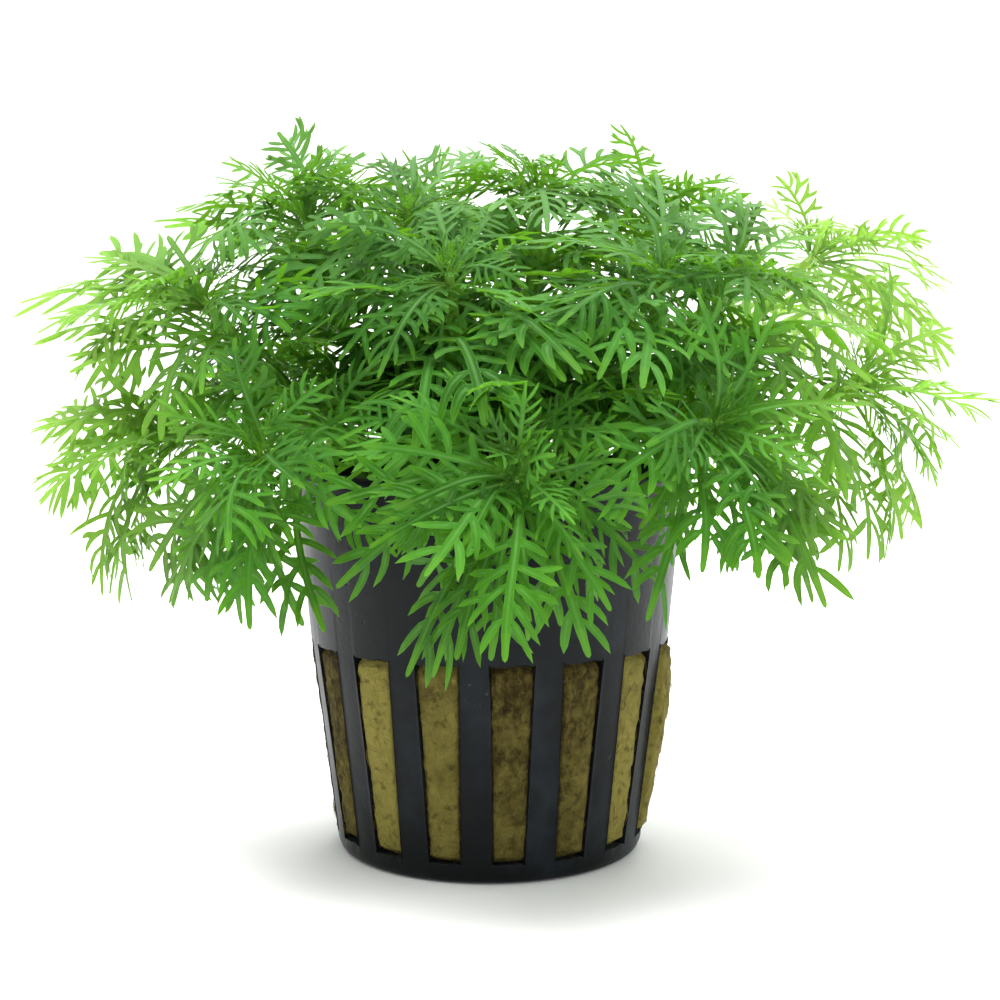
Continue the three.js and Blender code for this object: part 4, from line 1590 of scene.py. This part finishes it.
def seen_leaves(shoot, number):
    """More leaves whose ends are seen."""
    foot = on_axis(shoot, SEEN_BACK)
    return [
        leaf_towards(shoot, foot, Vector(tip), number * EXTRA_SEEDS + place, HABITS["seen"])
        for place, tip in enumerate(shoot.get("seen", ()))
    ]


def filler_leaves(shoot, number, settings):
    """Shorter leaves that fill the shoot between the others, in turn lower and upper ones."""
    leaves = []
    for extra in range(int(settings.fillers * shoot.get("fill", 1.0 if shoot["low"] else 0.7))):
        high = extra % 2 == 1
        seed = number * EXTRA_SEEDS + extra + FILLER_SEED
        share = chance(seed, 1, 4)
        back = lerp(1.5, TIER_SPLIT, share) if high else lerp(TIER_SPLIT, leafy_end(shoot) + 3, share)
        foot = on_axis(shoot, back)
        tip = spiral_tip(shoot, foot, FILLER_PLACE + extra + FILLER_SHIFT, high)
        tip = foot + (tip - foot) * lerp(0.6, 0.95 if high else 0.82, chance(seed, 2, 6))
        if high:
            tip.z = min(tip.z - 4 * chance(seed, 3, 7), shoot["crown"][2] + 3)
        leaf = leaf_towards(shoot, foot, tip, seed, HABITS["filler"])
        if clear_of_pot(leaf):
            leaves.append(leaf)
    return leaves


def stem_leaves(shoot, number, settings):
    """Leaves on the bare stretch of a stem, inside the plant."""
    leaves = []
    route = stem_route(shoot, 24)
    tall = shoot.get("tall")
    whorls = int((settings.whorls if tall else settings.low_whorls) * (shoot.get("fill", 1.0) + 1) / 2)
    for place in range(whorls):
        seed = number * EXTRA_SEEDS + place + STEM_SEED
        step = lerp(0.36 if tall else 0.28, 0.97, place / whorls) * (len(route) - 1)
        foot = lerp(route[int(step)], route[min(int(step) + 1, len(route) - 1)], step % 1)
        turn = math.radians(shoot["turn"] * 3 + place * GOLDEN_TURN)
        length = lerp(*STEM_LEAF_LENGTHS, chance(seed, 1, 12))
        out = Vector((math.cos(turn), math.sin(turn), lerp(-0.25, 0.45, chance(seed, 2, 13))))
        tip = foot + out.normalized() * length
        facing = UP + out * (chance(seed, 3, 3) - 0.5) + FRONT * shoot.get("face", 0.0)
        family = "dense" if place % 2 else "open"
        # Painted shade: these leaves inside the plant get only the darker tones.
        shade = chance(seed, 7, 14) * 0.7
        leaf = Leaf(foot, tip, UP, LOW_ARCH, family, seed, facing, STEM_FOLD, shade=shade)
        if clear_of_pot(leaf):
            leaves.append(leaf)
    return leaves


def crown_leaves(shoot, number, settings):
    """The tight rosette of young leaves at the shoot's end, the youngest most upright."""
    leaves = []
    side, up = across_axis(shoot)
    axis = lean_of(shoot)
    for place in range(settings.young):
        share = place / (settings.young - 1)
        seed = number * EXTRA_SEEDS + place + CROWN_SEED
        turn = math.radians(shoot["turn"] + CROWN_TURN + place * GOLDEN_TURN)
        spread = math.radians(lerp(84, 10, share ** 1.2))
        length = lerp(settings.young_length, YOUNGEST_LENGTH, share ** 0.8)
        length *= lerp(0.85, 1.15, chance(seed, 1, 1))
        foot = on_axis(shoot, lerp(1.8, 0.3, share))
        out = side * math.cos(turn) + up * math.sin(turn)
        tip = foot + (out * math.sin(spread) + axis * math.cos(spread)) * length
        lift = axis * 1.2 - out * 0.6 * share
        fold = (lerp(0.0, 0.7, share), lerp(0.3, 0.9, share))
        leaves.append(Leaf(
            foot, tip, lift, lerp(0.08, -0.16, share), "dense" if share < 0.3 else "young", seed,
            lift, fold, spread=lerp(0.95, 0.7, share), shade=0.35 * chance(seed, 3, 21),
        ))
    return leaves


def all_leaves(shoot, number, settings):
    """A shoot's leaves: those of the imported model, then those that are only here."""
    leaves = []
    for high, tier in ((False, "leaves"), (True, "crown")):
        finder = tip_finder(f"{shoot['name']}_{tier}")
        for place in range(tier_size(shoot, high)):
            leaves += tier_leaves(shoot, number, place, high, finder)
    leaves += seen_leaves(shoot, number)
    leaves += filler_leaves(shoot, number, settings)
    leaves += stem_leaves(shoot, number, settings)
    return leaves + crown_leaves(shoot, number, settings)


def leaf_points(name, shoot, leaves, kinds):
    """One point for each leaf, which carries all that the leaf tree reads."""
    mesh = bpy.data.meshes.new(name)
    mesh.from_pydata([tuple(leaf.base * MM) for leaf in leaves], [], [])
    for part in ("base", "middle", "tip"):
        write_attribute(mesh, part, "FLOAT_VECTOR", [getattr(leaf, part) * MM for leaf in leaves])
    write_attribute(mesh, "facing", "FLOAT_VECTOR", [leaf.facing.normalized() for leaf in leaves])
    for part in ("spread", "fold", "twist", "shade"):
        write_attribute(mesh, part, "FLOAT", [leaf.looks[part] for leaf in leaves])
    write_attribute(mesh, "yellow", "FLOAT", [shoot.get("yellow", 0.0)] * len(leaves))
    families = list(FAMILIES)
    write_attribute(mesh, "kind", "INT", [
        families.index(leaf.family) * kinds + int(chance(leaf.seed, 8, 2) * kinds) for leaf in leaves
    ])
    return link(name, mesh)


def make_foliage(settings):
    """Each shoot's leaves as one piece, grown from the leaf shapes of all families."""
    material = leaf_finish(settings)
    kinds = settings.kinds
    blades = make_collection("blades", [
        make_blade(place * kinds + number, family, settings)
        for place, family in enumerate(FAMILIES)
        for number in range(kinds)
    ])
    grower = leaf_grower()
    for number, shoot in enumerate(SHOOTS):
        name = f"{shoot['name']}_foliage"
        leaves = all_leaves(shoot, number, settings)
        piece = grower.grow(name, leaf_points(name, shoot, leaves, kinds), {
            "Blades": blades,
            "Width": settings.width,
            "Droop": settings.droop,
            "Material": material,
        })
        for spare in ("base", "middle", "tip", "facing", "spread", "fold", "twist", "kind"):
            if spare in piece.data.attributes:
                piece.data.attributes.remove(piece.data.attributes[spare])
        settle(piece, [f"{shoot['name']}_leaves", f"{shoot['name']}_crown"])
    drop_collection(blades)


# Floor, light and camera


def make_floor(settings):
    """A pale floor that bends up into a back wall."""
    sweep = [(FLOOR_FRONT, 0.0), (FLOOR_BACK, 0.0)]
    for step in range(1, BEND_STEPS + 1):
        angle = math.radians(90 * step / BEND_STEPS)
        depth = FLOOR_BACK + FLOOR_BEND * math.sin(angle)
        sweep.append((depth, FLOOR_BEND - FLOOR_BEND * math.cos(angle)))
    sweep.append((FLOOR_BACK + FLOOR_BEND, WALL_TOP))
    points = [Vector((x, y, z)) for y, z in sweep for x in (-FLOOR_HALF, FLOOR_HALF)]
    faces = [(2 * step, 2 * step + 1, 2 * step + 3, 2 * step + 2) for step in range(len(sweep) - 1)]
    floor = link("floor", mesh_from("floor", points, faces))
    finish = Finish("pale_floor")
    tone = finish.clamp(finish.noise(9.0, 2.0), 0.3, 0.7)
    colour = finish.mix(tone, settings.floor, [value * 0.985 for value in settings.floor])
    floor.data.materials.append(finish.close(finish.principled(
        Base_Color=colour, Roughness=0.85, Specular_IOR_Level=0.2,
    )))


def make_sky(settings):
    """Even white light, stronger from behind and from the sides than from in front."""
    world = bpy.data.worlds.new("studio")
    world.use_nodes = True
    sky = Graph(world.node_tree)
    across, backwards = sky.add("ShaderNodeTexCoord", out="Generated").split()[:2]
    backwards = backwards + across * across * 0.7
    background = world.node_tree.nodes["Background"]
    sky.feed(background.inputs["Color"], (1.0, 1.0, 1.0))
    strength = sky.clamp(backwards, -0.7, 0.4, settings.sky_front, settings.sky_back, True)
    sky.feed(background.inputs["Strength"], strength)
    bpy.context.scene.world = world


def make_lamps(settings):
    """Round soft lamps that all shine on the middle of the plant."""
    for name, place in LAMPS.items():
        lamp = bpy.data.lights.new(name, "AREA")
        lamp.shape = "DISK"
        lamp.size = LAMP_SIZE
        lamp.energy = getattr(settings, name)
        holder = bpy.data.objects.new(name, lamp)
        holder.location = place
        holder.visible_glossy = False
        holder.rotation_euler = (LIT_PLACE - Vector(place)).to_track_quat("-Z", "Y").to_euler()
        bpy.context.scene.collection.objects.link(holder)


def make_camera(settings):
    """The camera, where the photo's pot and plant show it to have been."""
    camera = bpy.data.cameras.new("camera")
    camera.sensor_width = SENSOR
    camera.lens = SENSOR * settings.focal_pixels / settings.frame_pixels
    camera.clip_start = 0.01
    camera.clip_end = 10.0
    pan = math.atan((settings.frame_pixels / 2 - settings.axis_pixel) / settings.focal_pixels)
    holder = bpy.data.objects.new("camera", camera)
    holder.location = (0.0, -settings.distance, settings.eye)
    holder.rotation_euler = Euler((math.radians(90) - settings.pitch, 0.0, -pan))
    bpy.context.scene.collection.objects.link(holder)
    bpy.context.scene.camera = holder


def make_stage(settings):
    """The floor, the light and the camera, with plain colours."""
    bpy.context.scene.view_settings.view_transform = "Standard"
    make_floor(settings)
    make_sky(settings)
    make_lamps(settings)
    make_camera(settings)


# Settings


def length(name, description, default):
    return FloatProperty(
        name=name, description=description, default=default, min=0.0, unit="LENGTH", precision=5
    )


def factor(name, description, default):
    return FloatProperty(
        name=name, description=description, default=default, min=0.0, max=1.0, subtype="FACTOR"
    )


def number_of(name, description, default):
    return FloatProperty(name=name, description=description, default=default)


def count_of(name, description, default):
    return IntProperty(name=name, description=description, default=default, min=1)


def colour(name, description, default):
    return FloatVectorProperty(
        name=name, description=description, default=default, size=3, min=0.0, max=1.0, subtype="COLOR"
    )


class WV_PotSettings(bpy.types.PropertyGroup):
    steps: count_of("Steps", "Faces across each slot and each rib", 6)
    rows: count_of("Rows", "Faces up each slot", 6)
    edge: length("Edge", "Rounding of the moulded edges", 0.12 * MM)
    plastic: colour("Plastic", "Colour of the plastic", (0.0045, 0.006, 0.0065))
    dust: colour("Dust", "Colour of the smudges", (0.019, 0.025, 0.031))
    speck: colour("Specks", "Colour of the pale specks", (0.06, 0.078, 0.095))


class WV_WoolSettings(bpy.types.PropertyGroup):
    steps: count_of("Steps", "Faces across each pad", 8)
    rows: count_of("Rows", "Faces up each pad", 26)
    gap: length("Gap", "Room between the wool and the slot's edge", 0.05 * MM)
    bulge: length("Bulge", "How far the wool stands out of the bulging slot", 1.4 * MM)
    recess: length("Recess", "How far the wool stays back in the other slots", 0.05 * MM)
    wave: length("Wave", "Slow unevenness of a pad", 0.35 * MM)
    rough: length("Roughness", "Fine unevenness of the wool", 0.3 * MM)
    lump: length("Lump size", "Size of the wool's lumps", 2.2 * MM)
    lump_height: length("Lump height", "Height of the wool's lumps", 0.3 * MM)
    fibre: length("Fibre length", "Length of the loose fibres", 2.2 * MM)
    density: number_of("Density", "Loose fibres on a square metre", 650000.0)
    olive: colour("Olive", "Lit wool", (0.215, 0.188, 0.045))
    brown: colour("Brown", "Wet wool", (0.028, 0.019, 0.005))
    straw: colour("Straw", "Palest fibres", (0.17, 0.145, 0.038))
    shadow: colour("Shadow", "Gaps between the fibres", (0.008, 0.005, 0.002))


class WV_StemSettings(bpy.types.PropertyGroup):
    foot_radius: length("Foot radius", "Radius of a stem at the wool", 1.25 * MM)
    end_radius: length("End radius", "Radius of a stem at its crown", 0.75 * MM)
    knuckle: length("Knuckle", "Height of the knuckles", 0.05 * MM)
    steps: count_of("Steps", "Points along the sweep", 40)
    sides: count_of("Sides", "Sides of the section", 12)
    pale: colour("Pale", "Palest part of a stem", (0.42, 0.56, 0.10))
    green: colour("Green", "Greenest part of a stem", (0.17, 0.38, 0.04))


class WV_LeafSettings(bpy.types.PropertyGroup):
    kinds: count_of("Kinds", "How many shapes of leaf each family has", 5)
    lobe_width: number_of("Lobe width", "Width of a lobe as a share of the leaf", 0.042)
    lobe_bend: number_of("Lobe bend", "How far a lobe bends forwards, in degrees", 30.0)
    web: number_of("Web", "Width of the midrib's outer end as a share of a lobe's", 1.2)
    last_lobe: number_of("Last lobe", "Where the end lobe starts, as a share of the leaf", 0.86)
    rib_width: number_of("Midrib width", "Width of the midrib as a share of the leaf", 0.040)
    thickness: number_of("Thickness", "Thickness as a share of the leaf", 0.009)
    fork_length: factor("Fork length", "Length of a side lobe as a share of the rest of its lobe", 0.9)
    fork_angle: number_of("Fork angle", "Angle between a lobe and its side lobe, in degrees", 32.0)
    missing: factor("Missing", "Share of the lobes that are missing", 0.06)
    width: number_of("Width", "Width of all leaves", 1.0)
    droop: number_of("Droop", "How far the lobes droop", 0.3)
    fillers: count_of("Fillers", "More leaves on each shoot", 18)
    whorls: count_of("Stem leaves", "Leaves on the bare stretch of a tall stem", 16)
    low_whorls: count_of("Low stem leaves", "Leaves on the bare stretch of a low stem", 12)
    young: count_of("Young leaves", "Leaves in a crown's rosette", 15)
    young_length: number_of("Young length", "Longest young leaf in millimetres", 9.0)
    light_through: factor("Light through", "Light that passes through a leaf", 0.55)
    dark_green: colour("Dark green", "Darkest leaves", (0.014, 0.095, 0.0008))
    bright_green: colour("Bright green", "Brightest leaves", (0.042, 0.225, 0.003))
    tip_green: colour("Tip green", "Ends of the lobes", (0.19, 0.45, 0.02))
    yellow_green: colour("Yellow green", "Leaves of the pale shoot", (0.64, 0.73, 0.34))
    rib_green: colour("Midrib", "Midribs", (0.22, 0.47, 0.15))
    gloss: factor("Gloss", "Strength of the leaves' reflections", 0.3)
    sheen: factor("Sheen", "Frosty sheen of leaves seen at a low angle", 0.08)
    # Painted sheen: how far the top leaves, and the palest leaves at any height, are mixed towards a
    # whitish green.
    top_painted_sheen: factor("Frost", "How frosty the top leaves are", 0.4)
    random_painted_sheen: factor("Bloom", "How frosty the palest leaves are at any height", 0.06)
    margin: factor("Margin", "How pale the edges of the leaves are", 0.3)
    # The whitish green of the painted sheen.
    painted_sheen_green: colour("Frosted", "Frosty green of the top leaves", (0.36, 0.53, 0.28))
    # Painted light: how far the leaves at the sides are mixed towards the lighter green below.
    painted_side_light: factor("Outer light", "How much lighter the outer leaves are", 0.72)
    painted_side_light_green: colour("Outer", "Leaves at the sides of the plant", (0.5, 0.72, 0.13))
    stalk_yellow: colour("Stalk", "Stalks of the leaves", (0.34, 0.52, 0.05))
    glow_green: colour("Glow", "Light that comes through", (0.56, 0.86, 0.12))


class WV_StageSettings(bpy.types.PropertyGroup):
    floor: colour("Floor", "Colour of the floor", (0.93, 0.93, 0.93))
    sky_back: number_of("Sky behind", "Even light from behind", 1.4)
    sky_front: number_of("Sky in front", "Even light from in front", 0.3)
    key: number_of("Key", "Power of the key light in watts", 9.0)
    fill: number_of("Fill", "Power of the fill light in watts", 1.0)
    back: number_of("Back", "Power of the back light in watts", 6.0)
    frame_pixels: number_of("Frame", "Width of the frame in pixels", 1000.0)
    focal_pixels: number_of("Focal length", "Focal length in pixels", 1766.0)
    axis_pixel: number_of("Axis", "Column where the pot's axis is seen", 489.5)
    distance: length("Distance", "From the camera to the pot's axis", 0.230)
    eye: length("Eye height", "Height of the camera", 0.0678)
    pitch: FloatProperty(
        name="Pitch", description="How far the camera looks down", default=math.radians(5.56),
        subtype="ANGLE",
    )


GROUPS = {
    "pot": WV_PotSettings,
    "wool": WV_WoolSettings,
    "stem": WV_StemSettings,
    "leaf": WV_LeafSettings,
    "stage": WV_StageSettings,
}


# Operators and panel


class WV_OT_pot(bpy.types.Operator):
    """Make the slotted net pot"""

    bl_idname = "water_violet.pot"
    bl_label = "Net Pot"

    def execute(self, context):
        make_pot(context.scene.wv_pot)
        return {"FINISHED"}


class WV_OT_wool(bpy.types.Operator):
    """Make the rock wool and its loose fibres"""

    bl_idname = "water_violet.wool"
    bl_label = "Rock Wool"

    def execute(self, context):
        make_wool(context.scene.wv_wool)
        return {"FINISHED"}


class WV_OT_stems(bpy.types.Operator):
    """Make the stems"""

    bl_idname = "water_violet.stems"
    bl_label = "Stems"

    def execute(self, context):
        make_stems(context.scene.wv_stem)
        return {"FINISHED"}


class WV_OT_foliage(bpy.types.Operator):
    """Make the leaves of every shoot"""

    bl_idname = "water_violet.foliage"
    bl_label = "Foliage"

    def execute(self, context):
        make_foliage(context.scene.wv_leaf)
        return {"FINISHED"}


class WV_OT_stage(bpy.types.Operator):
    """Make the floor, the lights and the camera"""

    bl_idname = "water_violet.stage"
    bl_label = "Stage"

    def execute(self, context):
        make_stage(context.scene.wv_stage)
        return {"FINISHED"}


OPERATORS = (WV_OT_stage, WV_OT_pot, WV_OT_wool, WV_OT_stems, WV_OT_foliage)


class WV_PT_panel(bpy.types.Panel):
    bl_idname = "WV_PT_panel"
    bl_label = "Water Violet"
    bl_space_type = "VIEW_3D"
    bl_region_type = "UI"
    bl_category = "Water Violet"

    def draw(self, context):
        for operator in OPERATORS:
            self.layout.operator(operator.bl_idname)
        for name, group in GROUPS.items():
            box = self.layout.box()
            box.label(text=name.capitalize())
            for setting in group.__annotations__:
                box.prop(getattr(context.scene, f"wv_{name}"), setting)


CLASSES = (*GROUPS.values(), *OPERATORS, WV_PT_panel)


def register():
    for cls in CLASSES:
        bpy.utils.register_class(cls)
    for name, group in GROUPS.items():
        setattr(bpy.types.Scene, f"wv_{name}", PointerProperty(type=group))


def unregister():
    for name in GROUPS:
        delattr(bpy.types.Scene, f"wv_{name}")
    for cls in reversed(CLASSES):
        bpy.utils.unregister_class(cls)


def main():
    register()
    for operator in OPERATORS:
        group, name = operator.bl_idname.split(".")
        getattr(getattr(bpy.ops, group), name)()


if __name__ == "__main__":
    main()
